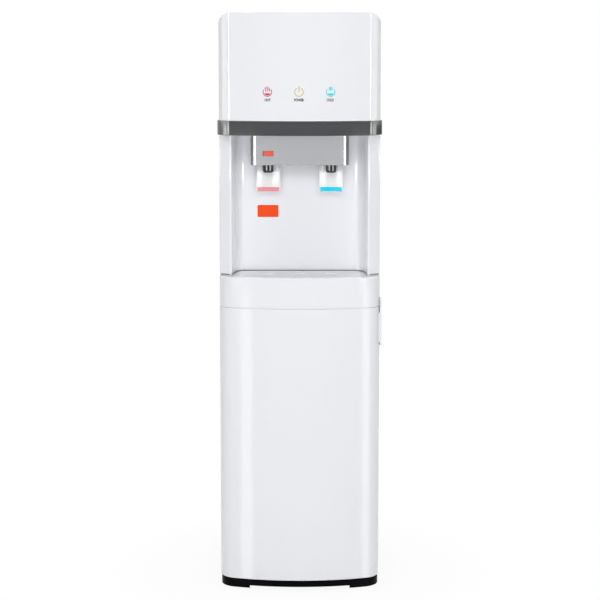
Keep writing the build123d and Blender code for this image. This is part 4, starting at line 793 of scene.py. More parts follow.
# ---- Meshes ----
class Sheath:
    """A mesh while it is drawn, in millimetres."""

    def __init__(self) -> None:
        """Start empty."""
        self.bm = bmesh.new()

    def ring(self, points: Iterable[Point3]) -> list[Vert]:
        """Add the points of one ring or row."""
        return [self.bm.verts.new(Vector(p) * MM) for p in points]

    def bridge(self, low: Verts, high: Verts, closed: bool = False, skip: Sequence[int] = ()) -> None:
        """Join two rows of equal length with quads.

        Args:
            low: The first row.
            high: The second row.
            closed: Whether the rows are rings.
            skip: The quads that are left open.
        """
        count = len(low)
        for i in range(count if closed else count - 1):
            if i not in skip:
                j = (i + 1) % count
                self.bm.faces.new((low[i], low[j], high[j], high[i]))

    def rows(self, rings: Sequence[Row], closed: bool = False) -> list[list[Vert]]:
        """Add rows and join each to the next.

        Args:
            rings: The points of each row.
            closed: Whether the rows are rings.

        Returns:
            The rows' vertices.
        """
        made = [self.ring(points) for points in rings]
        for low, high in zip(made, made[1:]):
            self.bridge(low, high, closed)
        return made

    def cap(self, *edges: Verts) -> None:
        """Fill a flat loop.

        Args:
            edges: Its vertices, and those of any loops that stay open as holes.
        """
        verts = [v for edge in edges for v in edge]
        for corners in geometry.tessellate_polygon([[v.co.copy() for v in edge] for edge in edges]):
            if len(set(corners)) == 3 and not self.bm.faces.get([verts[i] for i in corners]):
                self.bm.faces.new([verts[i] for i in corners])

    def block(self, rings: Sequence[Row]) -> None:
        """Make a closed block.

        Args:
            rings: The points of its rings, of which the first and the last are filled.
        """
        made = self.rows(rings, closed=True)
        self.cap(made[0])
        self.cap(made[-1])

    def lathe(self, centre: Point3, profile: Sequence[Point2], steps: int, upright: bool = True) -> None:
        """Turn a profile round an axis. An end on the axis closes there.

        Args:
            centre: The axis's foot.
            profile: Radius and height of each ring.
            steps: How many pieces a turn has.
            upright: Whether the heights run up, and not to the back.
        """
        made: list[list[Vert]] = []
        for radius, height in profile:
            count = steps if radius > NIL else 1
            spots = arc((0.0, 0.0), radius, 0.0, math.tau * (1 - 1 / count), max(count - 1, 1))[:count]
            turned = [(x, y, height) if upright else (x, height, -y) for x, y in spots]
            made.append(self.ring(Vector(centre) + Vector(spot) for spot in turned))
        for low, high in zip(made, made[1:]):
            if len(low) == len(high):
                self.bridge(low, high, closed=True)
                continue
            tip, ring = (low[0], high) if len(low) == 1 else (high[0], low)
            for i, vert in enumerate(ring):
                self.bm.faces.new((tip, vert, ring[(i + 1) % len(ring)]))

    def mesh(self, name: str, facing: Point3 | None = None) -> Mesh:
        """Weld, turn the faces outwards and hand over the mesh.

        Args:
            name: The mesh's name.
            facing: For an open skin, the way that most of it faces.

        Returns:
            The mesh.
        """
        faces = self.bm.faces
        bmesh.ops.remove_doubles(self.bm, verts=self.bm.verts, dist=NIL)
        bmesh.ops.recalc_face_normals(self.bm, faces=faces)
        if facing and sum(f.normal.dot(Vector(facing)) * f.calc_area() for f in faces) < 0:
            bmesh.ops.reverse_faces(self.bm, faces=faces)
        made = bpy.data.meshes.new(name)
        self.bm.to_mesh(made)
        self.bm.free()
        return made


def fade_bevel(mesh: Mesh, low: float, high: float) -> None:
    """Weight each edge for a bevel by how sharply it folds.

    Args:
        mesh: The mesh.
        low: The fold in degrees up to which an edge stays as it is.
        high: The fold from which it gets the whole bevel.
    """
    bm = bmesh.new()
    bm.from_mesh(mesh)
    layer = bm.edges.layers.float.new("bevel_weight_edge")
    for edge in bm.edges:
        fold = math.degrees(edge.calc_face_angle(0.0))
        edge[layer] = min(1.0, max(0.0, (fold - low) / (high - low)))
    bm.to_mesh(mesh)
    bm.free()


def joined(meshes: Sequence[Mesh]) -> Mesh:
    """Make one mesh of several.

    Args:
        meshes: The meshes.

    Returns:
        The whole.
    """
    bm = bmesh.new()
    for mesh in meshes:
        bm.from_mesh(mesh)
    made = bpy.data.meshes.new("joined")
    bm.to_mesh(made)
    bm.free()
    return made


class Workshop:
    """Turns drawn meshes into finished pieces that ride on the frame's bodies."""

    def __init__(self, paints: Paints) -> None:
        """Keep the materials and start to count."""
        self.paints = paints
        self.count = 0

    @staticmethod
    def walled(mesh: Mesh, wall: float, rim: float = 0.0, fades: Point2 = (0.0, 1.0)) -> Mesh:
        """Give an open skin its wall, and round its edges.

        Args:
            mesh: The skin.
            wall: The wall's thickness, which goes inwards.
            rim: The rounding's size, where there is one.
            fades: The folds in degrees between which the rounding grows from nothing to full.

        Returns:
            The closed mesh.
        """
        if rim:
            fade_bevel(mesh, *fades)
        obj = placed("draft", mesh)
        step = obj.modifiers.new("wall", "SOLIDIFY")
        step.thickness = wall * MM
        step.offset = -1.0
        if rim:
            step = obj.modifiers.new("edge", "BEVEL")
            step.width = rim * MM
            step.segments = 6
            step.limit_method = "WEIGHT"
        return settled(obj)

    def piece(
        self,
        name: str,
        mesh: Mesh,
        slot: str,
        replaces: str | None = None,
        body: str = "cabinet",
        smooth: float = 34.0,
        ink: str | None = None,
    ) -> None:
        """Make a finished piece.

        Args:
            name: The piece's name.
            mesh: Its mesh, in place, in metres.
            slot: The record's slot of its finish.
            replaces: The node that it stands for.
            body: The body it rides on.
            smooth: Folds under this angle, in degrees, are shaded smooth.
            ink: The ink it is printed in, where it isn't in the slot's own finish.
        """
        mesh.shade_smooth()
        mesh.set_sharp_from_angle(angle=math.radians(smooth))
        draft = placed("draft", mesh)
        draft.modifiers.new("normals", "WEIGHTED_NORMAL").keep_sharp = True
        mesh = settled(draft)
        mesh.name = name
        mesh.materials.clear()
        mesh.materials.append(self.paints.inks[ink] if ink else self.paints.by_slot[slot])
        obj = placed(name, mesh)
        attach(obj, body)
        if replaces:
            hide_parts(replaces)
        self.count += 1
        log.info("%s: %d faces on %s", name, len(mesh.polygons), body)


# ---- Geometry Nodes ----
class Pattern(Tree):
    """A Geometry Nodes tree while it is built, with named inputs."""

    def __init__(self, name: str, inputs: Mapping[str, tuple[str, object]]) -> None:
        """Start a tree.

        Args:
            name: The tree's name.
            inputs: Each input's socket type and value.
        """
        super().__init__(bpy.data.node_groups.new(name, "GeometryNodeTree"))
        for way in ("INPUT", "OUTPUT"):
            self.tree.interface.new_socket("Geometry", in_out=way, socket_type="NodeSocketGeometry")
        self.values = {key: value for key, (_, value) in inputs.items()}
        for key, (kind, _) in inputs.items():
            self.tree.interface.new_socket(key, in_out="INPUT", socket_type=kind)
        self.inputs = self.node("NodeGroupInput").outputs

    def made(self, kind: str, **sockets: object) -> Socket:
        """What a new geometry node gives, from its inputs by name with underscores for spaces."""
        fed = {key.replace("_", " "): value for key, value in sockets.items()}
        return self.node("GeometryNode" + kind, None, fed).outputs[0]

    def vector(self, x: object = 0.0, y: object = 0.0, z: object = 0.0) -> Socket:
        """A vector from three sockets or numbers."""
        return self.node("ShaderNodeCombineXYZ", None, {0: x, 1: y, 2: z}).outputs[0]

    def run(
        self, seed: Mesh, result: Socket, material: Material
    ) -> Mesh:
        """End the tree, set the modifier's inputs and turn its result into a plain mesh.

        Args:
            seed: The mesh that enters the tree.
            result: The geometry that the tree has made.
            material: What it is made of.

        Returns:
            The mesh.
        """
        real = self.made("RealizeInstances", Geometry=result)
        dressed = self.made("SetMaterial", Geometry=real, Material=material)
        self.node("NodeGroupOutput", None, {0: dressed})
        obj = placed("pattern", seed)
        step = obj.modifiers.new("pattern", "NODES")
        step.node_group = self.tree
        for item in self.tree.interface.items_tree:
            if item.in_out == "INPUT" and item.name in self.values:
                step[item.identifier] = self.values[item.name]
        return settled(obj)


# ---- Head ----
@dataclass
class SubAssembly:
    """Pieces that are made together in the workshop."""

    shop: Workshop


@dataclass
class Head(SubAssembly):
    """Head cover, the lid behind it and the dark band below it."""

    corner: float = 24.0
    overhang: float = 1.0
    rim: float = 4.0
    fades: Point2 = (13.0, 60.0)
    flare: tuple[Point2, ...] = ((0.0, 2.0), (0.4, 1.2), (1.1, 0.5), (2.2, 0.1), (3.2, 0.0))
    curve_from: float = 126.0
    curve_step: float = 2.2
    lid_bottom: float = 1040.0
    lid_rear: float = 152.0
    lid_round: float = 3.0
    lid_curve_from: float = 129.5
    lid_steps: int = 60
    lid_curve_steps: int = 14
    same: float = 0.0001  # places across the head that differ by less are one
    band_step: float = 3.0
    band_rim: float = 6.0
    band_soft: float = 0.7
    floor_half: float = 128.0
    floor_rear: float = -124.0

    def crown(self, x: float) -> float:
        """Height of the head's top at a place across it."""
        past = max(0.0, abs(x) - (PLAN.half + self.overhang - self.corner))
        return PLAN.height - self.corner + math.sqrt(self.corner**2 - past**2)

    def across(self, plan: Sequence[Point2]) -> list[Point2]:
        """Add points where the top corners curve.

        Args:
            plan: The plan line.

        Returns:
            The line with more points.
        """
        line = [plan[0]]
        for (x0, y0), (x1, y1) in zip(plan, plan[1:]):
            curved = abs(x0 + x1) / 2 > self.curve_from
            parts = max(1, math.ceil(abs(x1 - x0) / self.curve_step)) if curved else 1
            line += [(x0 + (x1 - x0) * i / parts, y0 + (y1 - y0) * i / parts) for i in range(1, parts + 1)]
        return line

    def cover(self) -> None:
        """The head cover, with a fine flare towards the band."""
        line = self.across(PLAN.ridged())
        rows = skirt(line, [(-out, PLAN.band_top + rise) for rise, out in self.flare], PLAN.covers_rear)
        rows.append([(x, y, self.crown(x)) for x, y in line])
        shell = Sheath()
        rim = shell.rows(rows)[-1]
        rear = shell.ring([(x, PLAN.covers_rear, self.crown(x)) for x, _ in line])
        upright = [i for i, (a, b) in enumerate(zip(line, line[1:])) if abs(a[0] - b[0]) < self.same]
        shell.bridge(rim, rear, skip=upright)
        mesh = self.shop.walled(shell.mesh("head", facing=(0, -1, 1)), PLAN.wall, self.rim, self.fades)
        self.shop.piece("head_shell", mesh, "white_cover", "head_cover", smooth=40)

    def lid(self) -> None:
        """The lid, closed at the back with a rounded rear edge."""
        start, steps, last = self.lid_curve_from, self.lid_steps, self.lid_curve_steps
        xs = [x for x in (PLAN.half * i / steps for i in range(-steps, steps + 1)) if abs(x) < start - 0.5]
        xs += [side * (start + (PLAN.half - start) * i / last) for side in (-1, 1) for i in range(last + 1)]
        ends = [(side * PLAN.half, self.lid_bottom) for side in (-1, 1)]
        arch = [ends[0], *[(x, self.crown(x)) for x in sorted(xs)], ends[1]]
        depths = [(0.0, PLAN.cabinet_front)]
        depths += [(inset, self.lid_rear - back) for inset, back in quarter(self.lid_round, steps=6)]
        rows = [[(x, y, z) for x, z in moved(arch, inset)] for inset, y in depths]
        for row in rows:
            for place, (x, z) in zip((0, -1), ends):
                row[place] = (x, row[place][1], z)
        shell = Sheath()
        shell.cap(shell.rows(rows)[-1])
        mesh = self.shop.walled(shell.mesh("lid", facing=(0, 0, 1)), PLAN.wall)
        self.shop.piece("rear_lid", mesh, "white_cover", "top_cover", smooth=40)

    def band(self) -> None:
        """The dark band, its upper edge and its floor."""
        levels = softened(PLAN.band_bottom, self.band_soft) + softened(PLAN.band_top, -self.band_soft)[::-1]
        levels.append((self.band_rim, PLAN.band_top))
        skin = Sheath()
        made = skin.rows(skirt(moved(PLAN.ridged(), self.band_step), levels, PLAN.covers_rear))
        skin.cap(made[0] + notched(skin, self.floor_half, self.floor_rear, PLAN.band_bottom))
        mesh = self.shop.walled(skin.mesh("band", facing=(0, -1, 0)), PLAN.sheet)
        self.shop.piece("grey_band", mesh, "trim_grey", "trim_band", smooth=36)

    def build(self) -> None:
        """Make all of it."""
        self.cover()
        self.lid()
        self.band()


def notched(skin: Sheath, half: float, rear: float, z: float) -> list[Vert]:
    """Add the corners of a notch from the back, which closes a floor's or a deck's outline.

    Args:
        skin: The mesh.
        half: Half the notch's width.
        rear: Where the notch ends in front.
        z: Its height.

    Returns:
        The corners, from right to left.
    """
    depths = (PLAN.covers_rear, rear, rear, PLAN.covers_rear)
    return skin.ring([(x, y, z) for x, y in zip((half, half, -half, -half), depths)])


# ---- Signs on the head ----
class Sign(Enum):
    """The signs: each one's ink, its symbol's middle, its ring's opening in degrees and its word's span."""

    HOT = ("ink_red", -60.0, 110.0, -65.0, -54.0)
    POWER = ("ink_yellow", -1.2, 60.0, -10.5, 8.0)
    COLD = ("ink_cyan", 57.5, 100.0, 50.0, 63.0)


def spoke(centre: Point2, reach: float, turn: float) -> Point2:
    """The point at a distance from another, at an angle in radians."""
    return (centre[0] + reach * math.cos(turn), centre[1] + reach * math.sin(turn))


def stroked(line: Sequence[Point2], width: float) -> list[Point2]:
    """Outline of a stroke along a line."""
    return moved(line, width / 2) + moved(line, -width / 2)[::-1]


@dataclass
class SignRow(SubAssembly):
    """Printed signs across the head: an open ring each, what stands in it, and its word."""

    middle: float = 953.8
    ring: float = 8.7
    stroke: float = 1.5
    proud: float = 0.12
    sunk: float = 0.25
    word_low: float = 936.4
    word_high: float = 941.8
    word_bold: float = 0.04
    bowl_gap: float = 2.3
    bowl_span: Point2 = (203.0, 337.0)
    waves: tuple[Point2, ...] = ((-3.6, 8.6), (0.0, 10.6), (3.6, 8.6))
    wave_foot: float = 1.2
    wave_reach: float = 0.7
    wave_turn: float = 0.52
    wave_steps: int = 12
    wave_width: float = 1.6
    flake_middle: Point2 = (0.0, 6.0)
    arm: float = 4.4
    arm_width: float = 1.1
    fork_at: float = 2.5
    fork: float = 1.6
    fork_lean: float = 0.9
    fork_width: float = 0.9
    bar_span: Point2 = (0.6, 11.4)
    bar_width: float = 1.9

    def film(self, shapes: Sequence[Sequence[Point2]], x: float) -> Mesh:
        """Lay flat outlines on the bowed front as a thin film with closed sides.

        Args:
            shapes: The outlines, about their own middle.
            x: The middle's place across the front.

        Returns:
            The film.
        """
        film = Sheath()
        for outline in shapes:
            flat = [(x + px, PLAN.bow_y(x + px), self.middle + pz) for px, pz in outline]
            film.block([[(px, y + depth, z) for px, y, z in flat] for depth in (self.sunk, -self.proud)])
        return film.mesh("film")

    def open_ring(self, gap: float) -> list[Point2]:
        """A ring that is open at the top, by a gap in degrees."""
        start, end = math.radians(90 + gap / 2), math.radians(90 + 360 - gap / 2)
        return stroked(arc((0, 0), self.ring - self.stroke / 2, start, end, steps=44), self.stroke)

    def bowl(self) -> list[Point2]:
        """A half-moon in the lower part of the ring."""
        return arc((0, 0), self.ring - self.bowl_gap, *map(math.radians, self.bowl_span), steps=24)

    def steam(self) -> list[list[Point2]]:
        """A bowl, and three wavy lines that rise out of it.

        Returns:
            Their outlines.
        """
        shapes, foot, steps = [self.bowl()], self.wave_foot, self.wave_steps
        for x, top in self.waves:
            sways = [self.wave_reach * math.sin(self.wave_turn * i) for i in range(steps + 1)]
            line = [(x + sway, foot + (top - foot) * i / steps) for i, sway in enumerate(sways)]
            shapes.append(stroked(line, self.wave_width))
        return shapes

    def flake(self) -> list[list[Point2]]:
        """A bowl, and a six-armed snow crystal over it.

        Returns:
            Their outlines.
        """
        shapes = [self.bowl()]
        for axis in (90, 150, 210):
            arms = [math.radians(axis + 180), math.radians(axis)]
            shapes.append(stroked([spoke(self.flake_middle, self.arm, arm) for arm in arms], self.arm_width))
            for arm in arms:
                fork = spoke(self.flake_middle, self.fork_at, arm)
                tips = [spoke(fork, self.fork, arm + side * self.fork_lean) for side in (-1, 1)]
                shapes += [stroked([fork, tip], self.fork_width) for tip in tips]
        return shapes

    def bar(self) -> list[list[Point2]]:
        """An upright bar in the ring's opening."""
        return [stroked([(0, z) for z in self.bar_span], self.bar_width)]

    def word(self, text: str, left: float, right: float) -> Mesh:
        """A word laid on the front, and stretched to its place.

        Args:
            text: The word.
            left: Where it begins.
            right: Where it ends.

        Returns:
            The word as a thin film.
        """
        curve = bpy.data.curves.new("word", "FONT")
        curve.body = text
        curve.resolution_u = 3
        curve.offset = self.word_bold
        flat = settled(placed("word", curve))
        low = self.word_low
        xs, ys = ([v.co[axis] for v in flat.vertices] for axis in (0, 1))
        for vert in flat.vertices:
            x = left + (right - left) * (vert.co.x - min(xs)) / (max(xs) - min(xs))
            z = low + (self.word_high - low) * (vert.co.y - min(ys)) / (max(ys) - min(ys))
            vert.co = Vector((x, PLAN.bow_y(x) - self.proud, z)) * MM
        bm = bmesh.new()
        bm.from_mesh(flat)
        bmesh.ops.remove_doubles(bm, verts=bm.verts, dist=NIL)
        lifted = bmesh.ops.extrude_face_region(bm, geom=list(bm.faces))["geom"]
        for vert in [v for v in lifted if isinstance(v, Vert)]:
            vert.co.y += (self.proud + self.sunk) * MM
        bmesh.ops.recalc_face_normals(bm, faces=bm.faces)
        bm.to_mesh(flat)
        bm.free()
        return flat

    def build(self) -> None:
        """Make the three signs and their words."""
        inside = {Sign.HOT: self.steam(), Sign.POWER: self.bar(), Sign.COLD: self.flake()}
        for sign, shapes in inside.items():
            ink, x, gap, left, right = sign.value
            name = sign.name.lower()
            film = self.film([self.open_ring(gap), *shapes], x)
            self.shop.piece(f"sign_{name}", film, "white_cover", smooth=20, ink=ink)
            word = self.word(sign.name, left, right)
            self.shop.piece(f"word_{name}", word, "white_cover", smooth=20, ink="ink_grey")


# ---- Alcove ----
@dataclass
class Alcove(SubAssembly):
    """Dispensing panel, tap plate, nozzles, cup levers and the bare plate on the back wall."""

    panel_soft: float = 0.3
    ceiling: float = 870.0
    ceiling_front: float = -112.0
    ceiling_share: float = 0.985
    ceiling_setback: float = 1.2
    tap_x: float = 60.0
    plate_half: float = 94.0
    plate_front: float = -110.0
    plate_corner: float = 13.0
    plate_bottom: float = 814.0
    plate_sheet: float = 1.0
    plate_soft: float = 0.35
    window: tuple[float, float, float, float] = (-70.4, -49.6, 831.3, 841.3)
    nozzle_y: float = -95.0
    nozzle: tuple[Point2, ...] = (
        (4.5, 803.0), (4.5, 799.6), (4.9, 799.1), (5.5, 799.0), (7.4, 799.0), (8.5, 799.4), (9.3, 800.3),
        (9.9, 801.6), (10.2, 803.0), (10.2, 803.5), (10.2, 814.5), (10.2, 815.0), (10.5, 816.0),
        (10.5, 817.5), (4.5, 817.5), (4.5, 803.0),
    )  # fmt: skip
    paddle_centre: float = -125.0
    paddle_radius: float = 45.0
    paddle_wall: float = 2.5
    paddle_soft: float = 0.7
    paddle_levels: tuple[Point2, ...] = ((762.0, 23.5), (776.0, 23.5), (786.0, 22.4), (812.0, 22.4))
    pivot: Point2 = (-80.0, 823.0)
    arm_offset: float = 15.0
    arm_wall: float = 4.0
    arm_half: float = 4.2
    arm_bottom: float = 804.0
    arm_edge: tuple[Point2, ...] = ((-1.0, 0.4), (-0.8, 0.0), (0.8, 0.0), (1.0, 0.4))
    strip_half: float = 20.5
    strip_wall: float = 1.2
    strip_soft: float = 0.25
    strip_heights: Point2 = (762.4, 770.4)
    label: tuple[float, float, float, float] = (-81.7, -41.1, 710.6, 733.9)
    label_corner: float = 1.6
    label_levels: tuple[Point2, ...] = ((0.0, 0.3), (0.0, -0.15), (0.15, -0.25))

    def panel(self) -> None:
        """Columns, curved side walls and back wall, with the ceiling."""
        line = PLAN.columns()
        skin = Sheath()
        skin.rows(skirt(line, [*softened(PLAN.panel_bottom, self.panel_soft), (0.0, PLAN.band_bottom)]))
        walls = self.shop.walled(skin.mesh("walls", facing=(0, -1, 0)), PLAN.wall)
        share, setback = self.ceiling_share, self.ceiling_setback
        outline = [(x * share, y + setback) for x, y in line if y < self.ceiling_front]
        back = PLAN.alcove_back + 1
        for side, depths in ((1, (PLAN.covers_rear, back)), (-1, (back, PLAN.covers_rear))):
            outline += [(side * PLAN.mouth_x, y) for y in depths]
        roof = Sheath()
        roof.block(loops(outline, [(0.0, self.ceiling), (0.0, self.ceiling + PLAN.wall)]))
        mesh = joined([walls, roof.mesh("roof")])
        self.shop.piece("dispensing_front", mesh, "white_cover", "dispensing_panel", smooth=38)

    def plate(self) -> None:
        """Steel plate bent round the tap housing, with the button's window."""
        left, right, low, high = self.window
        half, front = self.plate_half, self.plate_front
        bends = [(half, front, self.plate_corner), (half, PLAN.alcove_back, 0.0)]
        corners = [(-x, y, radius) for x, y, radius in reversed(bends)]
        line = rounded([*corners, (left, front, 0.0), (right, front, 0.0), *bends], steps=14)
        levels = softened(self.plate_bottom, self.plate_soft) + [(0.0, z) for z in (low, high, self.ceiling)]
        skin = Sheath()
        made = [skin.ring(row) for row in skirt(line, levels)]
        for (_, z), row, above in zip(levels, made, made[1:]):
            skin.bridge(row, above, skip=[line.index((left, front))] if z == low else [])
        mesh = self.shop.walled(skin.mesh("plate", facing=(0, -1, 0)), self.plate_sheet)
        self.shop.piece("tap_plate", mesh, "steel_plate", "faucet_plate", smooth=30)

    def nozzles(self) -> None:
        """Two turned nozzles with a rounded mouth and a bead above it."""
        turned = Sheath()
        for x in (-self.tap_x, self.tap_x):
            turned.lathe((x, self.nozzle_y, 0), self.nozzle, steps=72)
        self.shop.piece("nozzles", turned.mesh("nozzles"), "nozzle_black", "tap_nozzles")

    def sector(self, x: float, radius: float, half: float, z: float) -> Row:
        """A row of points across a paddle, from left to right.

        Args:
            x: The paddle's middle.
            radius: The bend's radius.
            half: Half the paddle's width.
            z: The row's height.

        Returns:
            The points.
        """
        reach = math.asin(half / radius)
        line = arc((x, self.paddle_centre), radius, math.pi / 2 + reach, math.pi / 2 - reach, steps=20)
        return [(px, py, z) for px, py in line]

    def shield(
        self, x: float, inner: float, outer: float, levels: Sequence[Point2], soft: float
    ) -> Mesh:
        """A closed curved plate with softened edges.

        Args:
            x: Its middle.
            inner: The radius of its hollow face.
            outer: The radius of its back.
            levels: Heights and half widths.
            soft: How much its edges are softened.

        Returns:
            The plate.
        """
        (low, foot), *between, (high, head) = levels
        ends = [(low, foot - soft, soft), (low + soft, foot, 0.0)]
        ends += [(z, half, 0.0) for z, half in between]
        ends += [(high - soft, head, 0.0), (high, head - soft, soft)]
        plate = Sheath()
        rings = []
        for z, half, thin in ends:
            back = self.sector(x, outer - thin * 0.5, half, z)
            rings.append(self.sector(x, inner + thin * 0.5, half, z) + back[::-1])
        plate.block(rings)
        return plate.mesh("shield")

    def lever(self, side: str, x: float) -> None:
        """One cup lever with its coloured strip.

        Args:
            side: Its tap, hot or cold.
            x: Its middle.
        """
        body, radius = f"{side}_lever", self.paddle_radius
        paddle = self.shield(x, radius, radius + self.paddle_wall, self.paddle_levels, self.paddle_soft)
        y, half = self.pivot[0], self.arm_half
        outline = [(y - half, self.arm_bottom), (y + half, self.arm_bottom)]
        outline += arc(self.pivot, half, 0.0, math.pi, steps=16)
        arms = Sheath()
        for middle in (x - self.arm_offset, x + self.arm_offset):
            places = [(middle + step * self.arm_wall / 2, inset) for step, inset in self.arm_edge]
            arms.block([[(px, *spot) for spot in inset_loop(outline, inset)] for px, inset in places])
        mesh = joined([paddle, arms.mesh("arms")])
        self.shop.piece(f"{side}_paddle", mesh, "lever_frost", body, body)
        levels = [(z, self.strip_half) for z in self.strip_heights]
        strip = self.shield(x, radius - self.strip_wall, radius, levels, self.strip_soft)
        self.shop.piece(f"{side}_strip", strip, f"strip_{side}", f"{body}_strip", body)

    def bare_label(self) -> None:
        """Bare orange plate on the back wall, under the hot tap."""
        left, right, low, high = self.label
        start = ((left + right) / 2, low, 0.0)
        places = ((right, low), (right, high), (left, high), (left, low))
        outline = rounded([start, *[(x, z, self.label_corner) for x, z in places], start], steps=6)[:-1]
        plate = Sheath()
        rings = loops(outline, self.label_levels)
        plate.block([[(x, PLAN.alcove_back + depth, z) for x, z, depth in ring] for ring in rings])
        self.shop.piece("bare_label", plate.mesh("label"), "white_cover", smooth=25, ink="plate_orange")

    def build(self) -> None:
        """Make all of it."""
        self.panel()
        self.plate()
        self.nozzles()
        self.lever("hot", -self.tap_x)
        self.lever("cold", self.tap_x)
        self.bare_label()


# ---- Drip tray and door ----
@dataclass
class TrayArea(SubAssembly):
    """Fascia with its deck and well, and the drip tray in it."""

    edge: float = 2.5
    soft: float = 0.8
    filler: float = 1.8
    recess: float = 1.0
    alcove_half: float = 132.0
    fit: float = 0.3
    tongue: float = 7.0
    seal: float = 0.9
    shade_strip_sink: float = 0.2
    shade_strip_lap: float = 0.6
    rim: float = 4.0
    rim_depth: float = 2.0
    proud: float = 0.6
    tray_floor: float = 575.0
    tray_wall: float = 2.0
    ledge: float = 1.5
    seat: float = 2.2
    foot_soft: tuple[Point2, ...] = ((1.5, 0.0), (0.5, 0.5), (0.0, 1.5))
    rim_soft: tuple[Point2, ...] = ((0.0, 0.7), (0.2, 0.2), (0.7, 0.0))
    lip_soft: tuple[Point2, ...] = ((-0.5, 0.0), (-0.1, 0.1), (0.0, 0.5))
    floor_soft: tuple[Point2, ...] = ((0.0, 2.0), (0.6, 0.6), (2.0, 0.0))

    def strip(self, name: str, inset: float, low: float, high: float, wall: float) -> Mesh:
        """An upright strip that follows the dispensing panel.

        Args:
            name: Its name.
            inset: How far it stands behind the panel's face.
            low: Its lower edge.
            high: Its upper edge.
            wall: Its thickness.

        Returns:
            The strip.
        """
        skin = Sheath()
        skin.rows(skirt(PLAN.columns(), [(inset, low), (inset, high)]))
        return self.shop.walled(skin.mesh(name, facing=(0, -1, 0)), wall)

    def fascia(self) -> None:
        """Fascia, deck and well in one skin, and behind the shadow gap a tongue with a dark strip of painted
        shade.
        """
        deck, foot, behind = PLAN.deck, PLAN.fascia_bottom, PLAN.wall + self.fit
        levels = [(PLAN.wall, foot - self.filler), (self.recess, foot - self.filler), (self.recess, foot)]
        levels += softened(foot, self.soft)
        levels += [(inset, deck - down) for inset, down in quarter(self.edge, steps=8)]
        skin = Sheath()
        made = skin.rows(skirt(PLAN.bowed(PLAN.covers_rear), levels, PLAN.covers_rear))
        notch = notched(skin, self.alcove_half, PLAN.alcove_back + PLAN.wall, deck)
        wide, narrow = -(self.rim + self.fit), -self.fit
        steps = [(wide - 0.5, deck), (wide, deck - 0.5), (wide, deck - self.rim_depth)]
        steps += [(narrow, deck - self.rim_depth), (narrow, self.tray_floor - self.tray_wall - 1.0)]
        rings = skin.rows(loops(PLAN.tray(), steps), closed=True)
        skin.cap(made[-1] + notch, rings[0])
        skin.cap(rings[-1])
        shell = self.shop.walled(skin.mesh("fascia", facing=(0, -1, 1)), PLAN.sheet)
        tongue = self.strip("tongue", behind, deck - 1.0, deck + self.tongue, PLAN.sheet)
        self.shop.piece("deck_and_fascia", joined([shell, tongue]), "white_cover", "tray_surround", smooth=38)
        # A dark grey strip behind the shadow gap, where there is only shade: painted shade that darkens the
        # gap line.
        seal = self.strip(
            "seal", behind - self.seal, deck - self.shade_strip_sink, PLAN.panel_bottom + self.shade_strip_lap, self.seal
        )
        self.shop.piece("gap_seal", seal, "housing_grey", smooth=38)

    def tray(self) -> None:
        """Lift-out basin with a rounded rim."""
        top, low = PLAN.deck + self.proud, PLAN.deck - self.rim_depth
        rim, floor, foot = -self.rim, self.tray_floor, self.tray_floor - self.tray_wall
        inner = self.tray_wall + self.ledge
        steps = [(inset, foot + up) for inset, up in self.foot_soft] + [(0.0, low), (rim, low)]
        steps += [(rim + inset, top - down) for inset, down in self.rim_soft]
        steps += [(inset, top - down) for inset, down in self.lip_soft]
        steps += [(inset, top - self.seat) for inset in (0.0, inner)]
        steps += [(inner + inset, floor + up) for inset, up in self.floor_soft]
        basin = Sheath()
        basin.block(loops(PLAN.tray(), steps))
        self.shop.piece("drip_basin", basin.mesh("basin"), "tray_white", "drip_tray", "drip_tray")

    def build(self) -> None:
        """Make both."""
        self.fascia()
        self.tray()


@dataclass
class Door(SubAssembly):
    """Outer shell of the door."""

    bottom: float = 19.5
    top: float = 546.5
    rear: float = -112.0
    edge: float = 1.5

    def build(self) -> None:
        """Make the bowed shell, with rounded edges above and below."""
        levels = [(inset, self.bottom + up) for up, inset in quarter(self.edge, steps=4)]
        levels += [(inset, self.bottom + self.top - z) for inset, z in reversed(levels)]
        skin = Sheath()
        made = skin.rows(skirt(PLAN.bowed(self.rear), levels, self.rear))
        skin.cap(made[0])
        skin.cap(made[-1])
        mesh = self.shop.walled(skin.mesh("door", facing=(0, -1, 0)), PLAN.wall)
        self.shop.piece("door_shell", mesh, "white_cover", "door_outer", "door", smooth=38)


